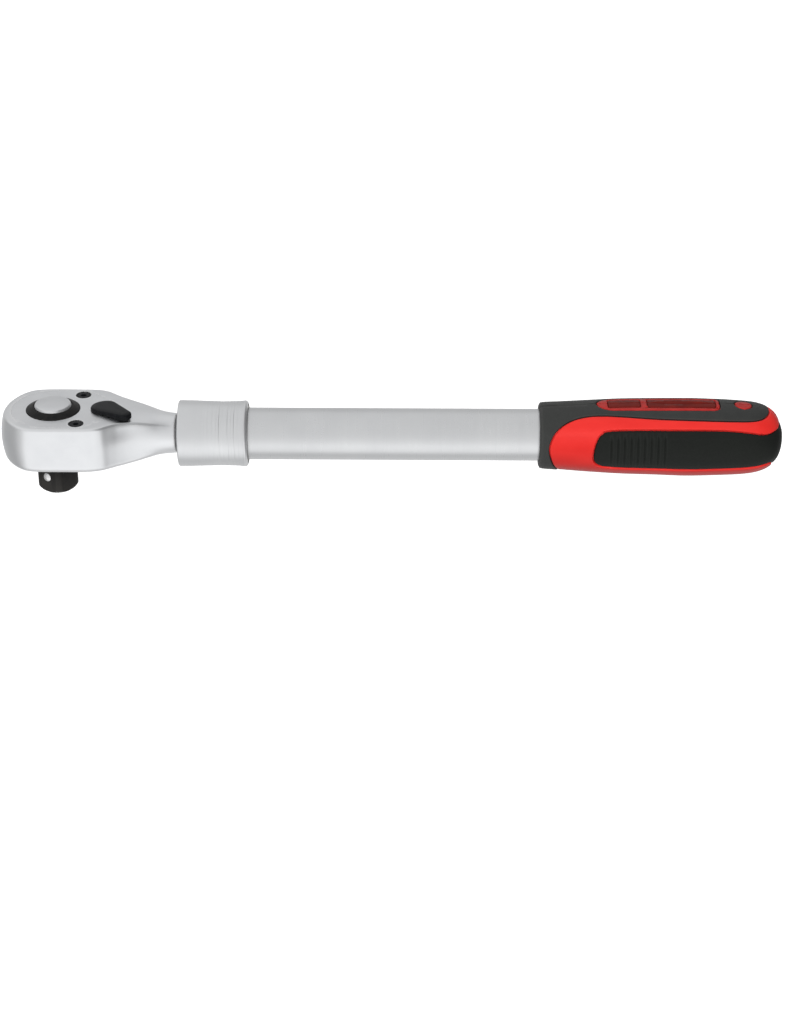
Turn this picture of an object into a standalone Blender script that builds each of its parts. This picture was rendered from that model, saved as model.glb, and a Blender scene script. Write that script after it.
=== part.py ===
"""Half-inch-drive reversible ratchet with a telescopic handle, as its separate pieces.

Sizes are in millimetres, and MM turns them into Blender's metres. X runs along the handle towards the
grip, Z points up out of the selector side of the head, and the origin is the centre of the drive
square's end face. Heights named "level" are measured from the handle's axis, which lies AXIS_Z above
the origin. Angles round the handle are elevations: 0 points to +Y and 90 points up.
"""

import math

import bmesh
import bpy
import numpy as np
from mathutils import Matrix, Vector

MM = 0.001
AXIS_Z = 23.5  # height of the handle's axis above the drive square's end
SMOOTH_ANGLE = math.radians(35)
WELD = 0.000002  # metres: points this close are one

# Head
NOSE_RADIUS = 20.7
HEAD_HALF_WIDTH = 18.5
FACE_LEVEL = 10.3
BELLY_LEVEL = -8.9
# x, half width, top level, bottom level, how far the section's upper and lower parts have become an oval,
# and how deep the walls are scooped below the face
HEAD_STATIONS = [
    (0, 18.45, 10.3, -8.9, 0.0, 0.0, 0.0),
    (8, 18.4, 10.3, -8.9, 0.0, 0.0, 0.0),
    (13, 18.3, 10.3, -8.9, 0.0, 0.0, 0.0),
    (17, 17.8, 10.3, -8.9, 0.0, 0.0, 0.0),
    (20, 16.9, 10.3, -8.85, 0.02, 0.0, 0.1),
    (23, 15.2, 10.3, -8.8, 0.06, 0.0, 0.5),
    (26.4, 13.4, 10.25, -8.65, 0.13, 0.0, 0.9),
    (30, 11.8, 10.1, -8.5, 0.24, 0.05, 0.8),
    (34, 10.4, 9.7, -8.3, 0.38, 0.2, 0.4),
    (38, 9.4, 9.1, -8.1, 0.56, 0.5, 0.1),
    (42, 8.6, 8.5, -7.95, 0.78, 0.84, 0.0),
    (46, 8.05, 8.1, -7.8, 0.97, 0.98, 0.0),
    (48.5, 7.85, 7.9, -7.75, 1.0, 1.0, 0.0),
]
FACE_EDGE = 1.0
BELLY_EDGE = 2.6
# the nose is a barrel: it is fullest at this level, and drawn in by this much 10 mm above and below it
BARREL_LEVEL = 0.5
BARREL_DEPTH = 1.65
CAVITY_RADIUS = 12.9
CAVITY_FLOOR = -5.3
DRIVE_BORE_RADIUS = 9.25

# Cover plate and its screws
COVER_SEAT = 8.0
COVER_LEVELS = (8.1, 10.25)
SCREW_X, SCREW_Y = 10.4, 12.6
COVER_LOBES = [(0, 0, 16.2), (SCREW_X, SCREW_Y, 3.6), (SCREW_X, -SCREW_Y, 3.6), (20, 0, 7.0)]

# Drive gear
TEETH = 72
TIP_RADIUS = 12.5
ROOT_RADIUS = 11.9
GEAR_LEVELS = (-5.1, 6.1)
HUB_RADIUS = 10.4
SQUARE = 12.7
SQUARE_CORNER = 1.88
SQUARE_TURN = math.radians(55)
BALL_RADIUS = 2.25
BALL_LEVEL = 6.2 - AXIS_Z
BALL_CENTRE = 4.95
BALL_ANGLE = math.radians(-125)

# Selector and pawl
STEM_X = 20.0
STEM_RADIUS = 2.2
LEVER_ANGLE = math.radians(42)
LEVER_REACH = 11.5
PAWL_PIVOT_X = 14.95
PAWL_ROCK = math.radians(4)
PAWL_TIP_GAP = 0.1
PAWL_LEVELS = (-5.0, 6.0)

# Telescopic rod, with its tracks and the pits in them
ROD_RADIUS = 7.0
ROD_END = 214.0
EXTENSION = 140.0
PIT_PITCH = 20.0
LOCK_X = 62.0
LOCK_ANGLES = [math.radians(a) for a in (90, 210, 330)]
LOCK_BALL_RADIUS = 2.0
LOCK_BALL_CENTRE = 8.25
TRACK_RADIUS = 2.2

# Handle tube and collar
TUBE_RADIUS = 10.2
TUBE_BORE = 8.45
TUBE_START, TUBE_END = 50.6, 262.0
COLLAR_START, COLLAR_END = 48.9, 76.1
FRONT_RING_X = (51.3, 52.1)
REAR_RING_X = (74.7, 75.9)

# Grip: x, radius at the top, radius underneath
GRIP_STATIONS = [
    (190.0, 12.4, 12.5),
    (190.8, 12.85, 13.15),
    (198.6, 13.25, 13.8),
    (210, 13.85, 14.65),
    (224, 14.5, 15.4),
    (236, 14.65, 15.7),
    (248, 14.7, 16.1),
    (260, 14.4, 15.8),
    (269, 13.8, 15.3),
    (274, 13.2, 14.6),
    (278.5, 11.9, 13.4),
    (280.9, 10.6, 12.0),
    (283.2, 8.0, 9.3),
    (285.0, 3.6, 4.4),
]
GRIP_END = 285.6
GRIP_SIDES = 28
OVERMOLD_DEPTH = 1.8
OVERMOLD_GAP = 0.3
# stretches where the red core shows through the overmould: elevations in degrees, and x
CORE_WINDOWS = [(-20, 61, 194.5, 214.5), (35, 61, 214, 272), (-90.5, -20, 194.5, 272)]
LABEL = (21, 213, 261)
BADGE_X, BADGE_RADIUS = 269.5, 3.5

FINISHES = {
    "satin_chrome": ((0.72, 0.73, 0.75, 1), 1.0, 0.32),
    "polished_steel": ((0.8, 0.8, 0.81, 1), 1.0, 0.18),
    "black_oxide": ((0.02, 0.02, 0.022, 1), 0.9, 0.38),
    "spring_steel": ((0.5, 0.5, 0.52, 1), 1.0, 0.3),
    "red_plastic": ((0.76, 0.03, 0.02, 1), 0.0, 0.42),
    "black_rubber": ((0.018, 0.018, 0.018, 1), 0.0, 0.7),
    "bronze": ((0.55, 0.36, 0.16, 1), 1.0, 0.35),
}

UPRIGHT = Matrix.Translation((0, 0, AXIS_Z * MM))
LENGTHWISE = UPRIGHT @ Matrix.Rotation(math.pi / 2, 4, "Y")
# outlines in (y, z) that are made thick along x
ACROSS = UPRIGHT @ Matrix(((0, 0, 1, 0), (1, 0, 0, 0), (0, 1, 0, 0), (0, 0, 0, 1)))


# ---- helpers -----------------------------------------------------------------------------------


def new_collection(name):
    collection = bpy.data.collections.new(name)
    bpy.context.scene.collection.children.link(collection)
    return collection


def add_object(name, mesh, matrix=None):
    """A new object. A name that starts with cut_ makes it a cutter."""
    obj = bpy.data.objects.new(name, mesh)
    cutter = name.startswith("cut_")
    (CUTTERS if cutter else PIECES).objects.link(obj)
    if cutter:
        obj.hide_render = True
        obj.display_type = "WIRE"
    if matrix is not None:
        obj.matrix_world = matrix
    return obj


def from_bmesh(name, bm, matrix=None):
    bmesh.ops.recalc_face_normals(bm, faces=bm.faces)
    mesh = bpy.data.meshes.new(name)
    bm.to_mesh(mesh)
    bm.free()
    return add_object(name, mesh, matrix)


def settle(obj):
    """Puts the result of an object's modifiers into its mesh, shaded smooth with sharp edges."""
    bpy.context.view_layer.update()
    graph = bpy.context.evaluated_depsgraph_get()
    mesh = bpy.data.meshes.new_from_object(obj.evaluated_get(graph), depsgraph=graph)
    bm = bmesh.new()
    bm.from_mesh(mesh)
    bmesh.ops.remove_doubles(bm, verts=bm.verts, dist=WELD)
    bmesh.ops.dissolve_degenerate(bm, edges=bm.edges, dist=WELD)
    bm.to_mesh(mesh)
    bm.free()
    obj.modifiers.clear()
    obj.data = mesh
    mesh.shade_smooth()
    mesh.set_sharp_from_angle(angle=SMOOTH_ANGLE)
    return obj


def combine(obj, others, operation="DIFFERENCE"):
    for other in others:
        modifier = obj.modifiers.new(other.name, "BOOLEAN")
        modifier.object = other
        modifier.operation = operation
        modifier.solver = "EXACT"
        settle(obj)
    return obj


def absorb(obj, others):
    """Joins other pieces into this one and removes them."""
    combine(obj, others, "UNION")
    for other in others:
        bpy.data.objects.remove(other)
    return obj


def clockwise(points):
    area = sum(
        a[0] * b[1] - b[0] * a[1] for a, b in zip(points, points[1:] + points[:1])
    )
    return points if area < 0 else points[::-1]


def lathe(name, profile, steps=32, matrix=LENGTHWISE):
    """A turned piece. The profile is (radius, place along the axis), and closes on itself or the axis."""
    on_axis = profile[0][0] == 0 and profile[-1][0] == 0
    points = clockwise(profile)
    count = len(points)
    edges = [(i, i + 1) for i in range(count - 1)]
    if not on_axis:
        edges.append((count - 1, 0))
    mesh = bpy.data.meshes.new(name)
    mesh.from_pydata([(r * MM, 0, a * MM) for r, a in points], edges, [])
    obj = add_object(name, mesh, matrix)
    screw = obj.modifiers.new("turn", "SCREW")
    screw.axis = "Z"
    screw.angle = math.tau
    screw.steps = screw.render_steps = steps
    screw.use_merge_vertices = True
    screw.merge_threshold = 0.00001
    return settle(obj)


def ring(name, inner, outer, low, high, steps=32, matrix=LENGTHWISE):
    profile = [(inner, low), (outer, low), (outer, high), (inner, high)]
    return lathe(name, profile, steps, matrix)


def rod(name, radius, low, high, steps=32, matrix=UPRIGHT):
    return lathe(name, [(0, low), (radius, low), (radius, high), (0, high)], steps, matrix)


def prism(name, outline, low, high, matrix=UPRIGHT):
    """A flat outline made thick along the matrix's Z."""
    bm = bmesh.new()
    face = bm.faces.new([bm.verts.new((x * MM, y * MM, low * MM)) for x, y in outline])
    made = bmesh.ops.extrude_face_region(bm, geom=[face])["geom"]
    moved = [v for v in made if isinstance(v, bmesh.types.BMVert)]
    bmesh.ops.translate(bm, verts=moved, vec=(0, 0, (high - low) * MM))
    obj = from_bmesh(name, bm, matrix)
    obj.data.shade_smooth()
    obj.data.set_sharp_from_angle(angle=SMOOTH_ANGLE)
    return obj


def ball(name, radius, centre, segments=16):
    bm = bmesh.new()
    bmesh.ops.create_uvsphere(bm, u_segments=segments, v_segments=segments // 2, radius=radius * MM)
    obj = from_bmesh(name, bm, Matrix.Translation(Vector(centre) * MM))
    obj.data.shade_smooth()
    return obj


def coil(name, mean_radius, wire_radius, low, high, turns, matrix, steps=12):
    """A compression spring with a dead turn at each end."""
    count = int(turns * steps)
    closed = wire_radius * 2.2
    places = np.interp(
        np.linspace(0, turns, count + 1),
        [0, 1, turns - 1, turns],
        [low + wire_radius, low + wire_radius + closed, high - wire_radius - closed, high - wire_radius],
    )
    curve = bpy.data.curves.new(name, "CURVE")
    curve.dimensions = "3D"
    curve.bevel_depth = wire_radius * MM
    curve.bevel_resolution = 2
    curve.use_fill_caps = True
    spline = curve.splines.new("POLY")
    spline.points.add(count)
    for i, place in enumerate(places):
        turn = math.tau * i / steps
        point = (mean_radius * math.cos(turn), mean_radius * math.sin(turn), place)
        spline.points[i].co = (*(v * MM for v in point), 1)
    guide = add_object(name + "_wire", curve, matrix)
    bpy.context.view_layer.update()
    graph = bpy.context.evaluated_depsgraph_get()
    bm = bmesh.new()
    bm.from_mesh(bpy.data.meshes.new_from_object(guide.evaluated_get(graph), depsgraph=graph))
    bmesh.ops.remove_doubles(bm, verts=bm.verts, dist=0.000001)
    bpy.data.objects.remove(guide)
    obj = from_bmesh(name, bm, matrix)
    obj.data.shade_smooth()
    return obj


def arc(x, y, radius, start, end, steps):
    angles = np.linspace(start, end, steps + 1)
    return [(x + radius * math.cos(a), y + radius * math.sin(a)) for a in angles]


def hull(circles, steps=24):
    """The outline of a band stretched round some circles, given as (x, y, radius)."""
    points = sorted(p for c in circles for p in arc(*c, 0, math.tau, steps)[:-1])
    outline = []
    for run in (points, points[::-1]):
        side = []
        for p in run:
            while len(side) > 1 and turn_of(side[-2], side[-1], p) <= 1e-6:
                side.pop()
            side.append(p)
        outline += side[:-1]
    return outline


def turn_of(a, b, c):
    return (b[0] - a[0]) * (c[1] - a[1]) - (b[1] - a[1]) * (c[0] - a[0])


def grown(circles, amount):
    return [(x, y, radius + amount) for x, y, radius in circles]


def spin(points, x, y, angle):
    """Points turned about (x, y)."""
    c, s = math.cos(angle), math.sin(angle)
    return [(x + (u - x) * c - (v - y) * s, y + (u - x) * s + (v - y) * c) for u, v in points]


def pointing(origin, direction):
    """A matrix that puts its origin at a point in millimetres and its Z along a direction."""
    turn = Vector(direction).to_track_quat("Z", "Y").to_matrix().to_4x4()
    return Matrix.Translation(Vector(origin) * MM) @ turn


def at(x, y=0):
    """The upright matrix, moved to a place on the head."""
    return Matrix.Translation((x * MM, y * MM, 0)) @ UPRIGHT


def paint(finish, *pieces):
    colour, metallic, roughness = FINISHES[finish]
    for piece in pieces:
        material = bpy.data.materials.new(f"{piece.name}_{finish}")
        material.use_nodes = True
        shader = material.node_tree.nodes["Principled BSDF"]
        shader.inputs["Base Color"].default_value = colour
        shader.inputs["Metallic"].default_value = metallic
        shader.inputs["Roughness"].default_value = roughness
        material.diffuse_color = colour
        piece.data.materials.clear()
        piece.data.materials.append(material)


# ---- head --------------------------------------------------------------------------------------


def head_section(half_width, top, bottom, upper, lower, scoop, barrel=0.0):
    """One side of a cross-section, from the top centre round to the bottom centre, as (y, level)."""
    middle, height = (top + bottom) / 2, (top - bottom) / 2
    boxy = [(0, top)]
    boxy += arc(half_width - FACE_EDGE, top - FACE_EDGE, FACE_EDGE, math.pi / 2, 0, 3)
    boxy += [(half_width, middle + 3.4), (half_width, middle - 1.6)]
    boxy += arc(half_width - BELLY_EDGE, bottom + BELLY_EDGE, BELLY_EDGE, 0, -math.pi / 2, 4)
    boxy.append((0, bottom))
    boxy = np.array(boxy)
    level = boxy[:, 1]
    inset = barrel * ((level - BARREL_LEVEL) / 10) ** 2 + scoop * np.interp(level, (-3, 5), (0, 1))
    boxy[:, 0] *= 1 - inset / half_width
    angles = np.linspace(math.pi / 2, -math.pi / 2, len(boxy))
    oval = np.column_stack([half_width * np.cos(angles), middle + height * np.sin(angles)])
    roundness = np.interp(np.arange(len(boxy)), (4, 7), (upper, lower))[:, None]
    return (1 - roundness) * boxy + roundness * oval


def nose_radius(angle):
    """Plan radius of the nose: a circle whose flanks are held to the head's width."""
    flank = HEAD_HALF_WIDTH / max(abs(math.sin(angle)), 1e-6)
    return (NOSE_RADIUS**-24 + flank**-24) ** (-1 / 24)


def make_head_form():
    """The outside of the head: a fan of sections round the drive axis, then sections along the neck."""
    bm = bmesh.new()
    top = bm.verts.new((0, 0, FACE_LEVEL * MM))
    bottom = bm.verts.new((0, 0, BELLY_LEVEL * MM))
    fan = []
    for angle in np.linspace(math.pi / 2, 3 * math.pi / 2, 15):
        radius = HEAD_STATIONS[0][1] if abs(math.cos(angle)) < 1e-6 else nose_radius(angle)
        barrel = BARREL_DEPTH * math.cos(angle) ** 2
        side = head_section(radius, FACE_LEVEL, BELLY_LEVEL, 0, 0, 0, barrel)[1:-1]
        c, s = math.cos(angle), math.sin(angle)
        fan.append([bm.verts.new((r * c * MM, r * s * MM, z * MM)) for r, z in side])
    for one, two in zip(fan, fan[1:]):
        bm.faces.new((top, one[0], two[0]))
        bm.faces.new((bottom, two[-1], one[-1]))
        for i in range(len(one) - 1):
            bm.faces.new((one[i], one[i + 1], two[i + 1], two[i]))
    loop = [top, *fan[0], bottom, *fan[-1][::-1]]
    for x, *shape in HEAD_STATIONS[1:]:
        side = head_section(*shape)
        near = [bm.verts.new((x * MM, y * MM, z * MM)) for y, z in side]
        far = [bm.verts.new((x * MM, -y * MM, z * MM)) for y, z in side[-2:0:-1]]
        following = near + far
        for i in range(len(loop)):
            j = (i + 1) % len(loop)
            bm.faces.new((loop[i], loop[j], following[j], following[i]))
        loop = following
    bm.faces.new(loop)
    return settle(from_bmesh("head_body", bm, UPRIGHT))


def make_head():
    head = make_head_form()
    pocket = [(8, -9.9), (17.2, -9.9), (18.2, -8.9), (18.2, 8.9), (17.2, 9.9), (8, 9.9)]
    above = FACE_LEVEL + 2
    cuts = [
        prism("cut_cover_seat", hull(grown(COVER_LOBES, 0.2)), COVER_SEAT, above),
        rod("cut_gear_cavity", CAVITY_RADIUS, CAVITY_FLOOR, COVER_SEAT + 0.5, 40),
        rod("cut_drive_bore", DRIVE_BORE_RADIUS, BELLY_LEVEL - 1, CAVITY_FLOOR + 0.5, 32),
        prism("cut_pawl_pocket", pocket, CAVITY_FLOOR + 0.1, COVER_SEAT + 0.6),
        rod("cut_stem_room", 3.7, CAVITY_FLOOR + 0.05, COVER_SEAT + 0.7, 24, at(STEM_X)),
        rod("cut_stem_foot", 1.85, -7.3, CAVITY_FLOOR + 0.5, 16, at(STEM_X)),
        rod("cut_pin_foot", 1.05, -7.5, CAVITY_FLOOR + 0.5, 12, at(PAWL_PIVOT_X)),
        rod("cut_rod_socket", 5.2, 36.5, 50, 24, LENGTHWISE),
    ]
    for y in (SCREW_Y, -SCREW_Y):
        cuts.append(rod("cut_screw_hole", 1.45, 0.5, COVER_SEAT + 0.5, 12, at(SCREW_X, y)))
    combine(head, cuts)

    cover = prism("cover_plate", hull(COVER_LOBES), *COVER_LEVELS)
    cuts = [
        rod("cut_cover_bore", HUB_RADIUS + 0.25, 7, above, 32),
        rod("cut_cover_stem", STEM_RADIUS + 0.3, 7, above, 20, at(STEM_X)),
    ]
    screws = []
    for number, y in enumerate((SCREW_Y, -SCREW_Y), 1):
        cuts.append(rod("cut_head_recess", 3.0, 8.8, above, 20, at(SCREW_X, y)))
        cuts.append(rod("cut_shank_hole", 1.6, 7, above, 12, at(SCREW_X, y)))
        profile = [(0, 1.2), (1.2, 1.2), (1.2, 8.95), (2.75, 8.95), (2.75, 9.7), (2.5, 9.9), (0, 9.9)]
        screw = lathe(f"cover_screw_{number}", profile, 20, at(SCREW_X, y))
        hexagon = arc(SCREW_X, y, 1.25, 0, math.tau, 6)[:-1]
        screws.append(combine(screw, [prism("cut_hexagon", hexagon, 9.15, above)]))
    combine(cover, cuts)
    pin = rod("pawl_pin", 0.85, -7.2, 7.8, 12, at(PAWL_PIVOT_X))
    paint("satin_chrome", head, cover)
    paint("black_oxide", *screws)
    paint("polished_steel", pin)


# ---- drive -------------------------------------------------------------------------------------


def tooth_radius(angle):
    """Outline of the drive gear's teeth, with a root at angle 0."""
    share = (angle * TEETH / math.tau) % 1
    return float(np.interp(share, [0, 0.4, 0.6, 1], [0, 1, 1, 0])) * (
        TIP_RADIUS - ROOT_RADIUS
    ) + ROOT_RADIUS


def tooth_outline(start, end, extra):
    """Points along the gear's teeth between two angles, moved out by extra."""
    pitch = math.tau / TEETH
    marks = [(k + f) * pitch for k in range(TEETH) for f in (0, 0.4, 0.6)]
    angles = [a for a in marks if start - 1e-9 <= a <= end + 1e-9]
    return [
        ((tooth_radius(a) + extra) * math.cos(a), (tooth_radius(a) + extra) * math.sin(a))
        for a in angles
    ]


def make_drive():
    gear = prism("drive_gear", tooth_outline(0, math.tau, 0), *GEAR_LEVELS)
    end = -AXIS_Z
    hub = lathe(
        "hub",
        [(0, -10), (6, -10), (6, -8.7), (9.0, -8.7), (9.0, -4), (HUB_RADIUS, -4), (HUB_RADIUS, 10.45),
         (7.9, 11.85), (0, 11.85)],
        32,
        UPRIGHT,
    )
    half = SQUARE / 2 - SQUARE_CORNER
    corners = [
        p
        for k, (x, y) in enumerate([(half, half), (-half, half), (-half, -half), (half, -half)])
        for p in arc(x, y, SQUARE_CORNER, k * math.pi / 2, (k + 1) * math.pi / 2, 4)
    ]
    square = prism("square", spin(corners, 0, 0, SQUARE_TURN), end, -8)
    profile = [(0, end), (6.8, end), (9.5, end + 2.7), (9.5, 0), (0, 0)]
    envelope = lathe("cut_square_end", profile, 32, UPRIGHT)
    combine(square, [envelope], "INTERSECT")
    absorb(gear, [hub, square])
    outwards = (math.cos(BALL_ANGLE), math.sin(BALL_ANGLE), 0)
    ball_line = pointing((0, 0, AXIS_Z + BALL_LEVEL), outwards)
    combine(
        gear,
        [
            rod("cut_button_room", 7.5, 3.0, 13, 32),
            rod("cut_plunger_bore", 2.8, -21.9, 4, 20),
            rod("cut_ball_hole", 2.42, 1, 6.05, 20, ball_line),
            rod("cut_ball_mouth", 2.07, 5, 8, 20, ball_line),
        ],
    )
    button = lathe(
        "release_button",
        [(0, 10.9), (1.75, 10.9), (1.75, 9.1), (7.0, 9.1), (7.25, 9.35), (7.25, 11.9), (6.95, 12.45),
         (6.0, 12.95), (4.2, 13.3), (2.2, 13.45), (0, 13.5)],
        32,
        UPRIGHT,
    )
    neck, land = 1.5, 2.55
    foot = [(0, -2.0), (land - 0.3, -2.0), (land, -1.7), (land, -0.3), (neck, 2.0), (neck, 2.8), (land, 4.2)]
    profile = [(r, BALL_LEVEL + h) for r, h in foot]
    profile += [(land, 8.9), (1.5, 8.9), (1.5, 10.6), (0, 10.6)]
    plunger = lathe("release_plunger", profile, 20, UPRIGHT)
    spring = coil("release_spring", 4.6, 0.45, 3.15, 8.85, 3.5, UPRIGHT, 10)
    centre = Vector((0, 0, AXIS_Z + BALL_LEVEL)) + Vector(outwards) * BALL_CENTRE
    drive_ball = ball("drive_ball", BALL_RADIUS, centre)
    paint("black_oxide", gear)
    paint("polished_steel", button, plunger, drive_ball)
    paint("spring_steel", spring)


# ---- pawl and selector -------------------------------------------------------------------------


def make_pawl():
    """A rocking pawl with a toothed arm at each side, shown turned towards its +Y arm."""
    first, last = math.radians(23), math.radians(36)
    extra = TIP_RADIUS + PAWL_TIP_GAP - ROOT_RADIUS
    end = math.radians(37.5)
    toothed = tooth_outline(first, last, extra) + [(13.1 * math.cos(end), 13.1 * math.sin(end))]
    teeth = spin(toothed, PAWL_PIVOT_X, 0, -PAWL_ROCK)
    hollow = arc(0, 0, 13.35, 0, math.radians(21.5), 5)
    back = arc(STEM_X, 0, 3.45, math.radians(130), math.pi, 6)
    side = hollow + teeth + [(11.9, 9.3), (14.6, 8.8)] + back
    outline = side + [(x, -y) for x, y in side[-2:0:-1]]
    pawl = prism("pawl", spin(outline, PAWL_PIVOT_X, 0, PAWL_ROCK), *PAWL_LEVELS)
    combine(pawl, [rod("cut_pawl_hole", 1.05, -6, 7, 12, at(PAWL_PIVOT_X))])
    paint("black_oxide", pawl)


def make_selector():
    stem = lathe(
        "selector_lever",
        [(0, -7.1), (1.55, -7.1), (1.55, -5.0), (STEM_RADIUS, -5.0), (STEM_RADIUS, 6.8), (1.75, 6.8),
         (1.75, 7.7), (STEM_RADIUS, 7.7), (STEM_RADIUS, 10.55), (4.6, 10.55), (4.6, 12.0), (4.1, 12.4),
         (0, 12.5)],
        24,
        at(STEM_X),
    )
    tip = (STEM_X + LEVER_REACH * math.cos(LEVER_ANGLE), -LEVER_REACH * math.sin(LEVER_ANGLE), 2.9)
    paddle = prism("paddle", hull([(STEM_X, 0, 5.3), tip]), 10.9, 13.0)
    slope = [(10.0, 10), (40, 10), (40, 14.0), (30.0, 14.0), (16.0, 12.1), (10, 12.0)]
    side_view = prism("cut_paddle_slope", slope, -20, 20, UPRIGHT @ Matrix.Rotation(math.pi / 2, 4, "X"))
    combine(paddle, [side_view], "INTERSECT")
    absorb(stem, [paddle])
    inwards = (-math.cos(LEVER_ANGLE), math.sin(LEVER_ANGLE), 0)
    plunger_line = pointing((STEM_X, 0, AXIS_Z), inwards)
    combine(stem, [rod("cut_plunger_hole", 1.15, -1.5, 4, 16, plunger_line)])
    plunger = lathe(
        "selector_plunger", [(0, 0.7), (0.9, 0.7), (0.9, 2.7), (0.6, 3.1), (0, 3.2)], 12, plunger_line
    )
    spring = coil("selector_spring", 0.6, 0.15, -1.35, 0.55, 3, plunger_line, 8)
    circlip = prism("selector_circlip", c_outline(1.9, 3.3, STEM_X, 0), 7.0, 7.5)
    paint("black_oxide", stem, circlip)
    paint("polished_steel", plunger)
    paint("spring_steel", spring)


def c_outline(inner, outer, x=0, y=0):
    """An open ring, as a snap ring is."""
    gap = math.radians(14)
    out = arc(x, y, outer, gap, math.tau - gap, 28)
    return out + arc(x, y, inner, math.tau - gap * outer / inner, gap * outer / inner, 28)


# ---- telescopic rod ----------------------------------------------------------------------------


def round_handle(angle, radius):
    """(y, z) in millimetres of a point round the handle's axis."""
    return radius * math.cos(angle), AXIS_Z + radius * math.sin(angle)


def make_rod():
    profile = [
        (0, 36.8), (4.7, 36.8), (5.0, 37.1), (5.0, 48.7), (ROD_RADIUS - 0.4, 48.7), (ROD_RADIUS, 49.1),
        (ROD_RADIUS, ROD_END), (4.0, ROD_END), (4.0, 221.6), (0, 221.6),
    ]
    main = lathe("telescopic_rod", profile, 24)
    ends = (LOCK_X - 3, LOCK_X + EXTENSION + 3)
    pits = int(EXTENSION / PIT_PITCH) + 1
    for angle in LOCK_ANGLES:
        y, z = round_handle(angle, LOCK_BALL_CENTRE)
        line = pointing((0, y, z), (1, 0, 0))
        combine(main, [rod("cut_track", TRACK_RADIUS, *ends, 12, line)])
        outwards = (0, math.cos(angle), math.sin(angle))
        drills = bmesh.new()
        for k in range(pits):
            place = pointing((LOCK_X + k * PIT_PITCH, 0, AXIS_Z), outwards)
            made = bmesh.ops.create_cone(
                drills, cap_ends=True, segments=6, radius1=0.7 * MM, radius2=1.8 * MM, depth=1.5 * MM
            )
            lift = Matrix.Translation((0, 0, 6.25 * MM))
            bmesh.ops.transform(drills, matrix=place @ lift, verts=made["verts"])
        combine(main, [from_bmesh("cut_pits", drills)])
    combine(main, [rod("cut_end_thread", 2.3, 210, 223, 16, LENGTHWISE)])
    guide = ring("rod_guide", 4.2, 8.2, ROD_END + 0.2, 221.8, 32)
    profile = [(0, 211), (2.1, 211), (2.1, 222.0), (5.2, 222.0), (5.2, 223.2), (4.2, 224.2), (0, 224.4)]
    screw = lathe("rod_end_screw", profile, 16)
    hexagon = arc(0, 0, 1.8, 0, math.tau, 6)[:-1]
    combine(screw, [prism("cut_end_hexagon", hexagon, 222.6, 226, LENGTHWISE)])
    paint("satin_chrome", main)
    paint("bronze", guide)
    paint("black_oxide", screw)


# ---- handle tube and lock collar ---------------------------------------------------------------


def make_tube():
    groove = TUBE_RADIUS - 0.4
    front, rear = FRONT_RING_X, REAR_RING_X
    profile = [
        (TUBE_BORE, TUBE_START), (TUBE_RADIUS - 0.4, TUBE_START), (TUBE_RADIUS, TUBE_START + 0.4),
        (TUBE_RADIUS, front[0] - 0.1), (groove, front[0] - 0.1), (groove, front[1] + 0.1),
        (TUBE_RADIUS, front[1] + 0.1), (TUBE_RADIUS, rear[0] - 0.1), (groove, rear[0] - 0.1),
        (groove, rear[1] + 0.1), (TUBE_RADIUS, rear[1] + 0.1), (TUBE_RADIUS, TUBE_END), (TUBE_BORE, TUBE_END),
    ]
    tube = lathe("handle_tube", profile, 32)
    bush = ring("nose_bush", ROD_RADIUS + 0.15, TUBE_BORE - 0.15, TUBE_START + 0.2, 72, 24)
    for number, angle in enumerate(LOCK_ANGLES, 1):
        line = pointing((LOCK_X, 0, AXIS_Z), (0, math.cos(angle), math.sin(angle)))
        hole = rod("cut_ball_hole", LOCK_BALL_RADIUS + 0.12, 5, 13, 16, line)
        combine(tube, [hole])
        combine(bush, [hole])
        y, z = round_handle(angle, LOCK_BALL_CENTRE)
        paint("polished_steel", ball(f"lock_ball_{number}", LOCK_BALL_RADIUS, (LOCK_X, y, z), 12))
    paint("satin_chrome", tube)
    paint("bronze", bush)


def make_collar():
    """The collar's bore: a counterbore, a land, a ramp that frees the balls, a land and a spring pocket."""
    start, end = COLLAR_START, COLLAR_END
    bore = [
        (11.5, start), (11.5, 52.4), (10.4, 52.4), (10.4, 54.6), (10.95, 55.2), (10.95, 56), (10.45, 62),
        (10.45, 64.5), (11.6, 64.5), (11.6, end),
    ]
    skin = [(12.65, end), (13.0, end - 0.35), (12.75, 72), (12.6, 66.3), (12.75, 60), (12.95, 54)]
    skin += [(13.0, start + 0.35), (12.65, start)]
    collar = lathe("lock_collar", bore + skin, 32)
    spring = coil("lock_spring", 10.9, 0.38, 64.8, 74.4, 4, LENGTHWISE, 14)
    front = prism("collar_retaining_ring", c_outline(9.95, 11.0), *FRONT_RING_X, LENGTHWISE)
    rear = prism("spring_seat_ring", c_outline(9.95, 11.2), *REAR_RING_X, LENGTHWISE)
    paint("satin_chrome", collar)
    paint("spring_steel", spring, front, rear)


# ---- grip --------------------------------------------------------------------------------------


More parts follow.
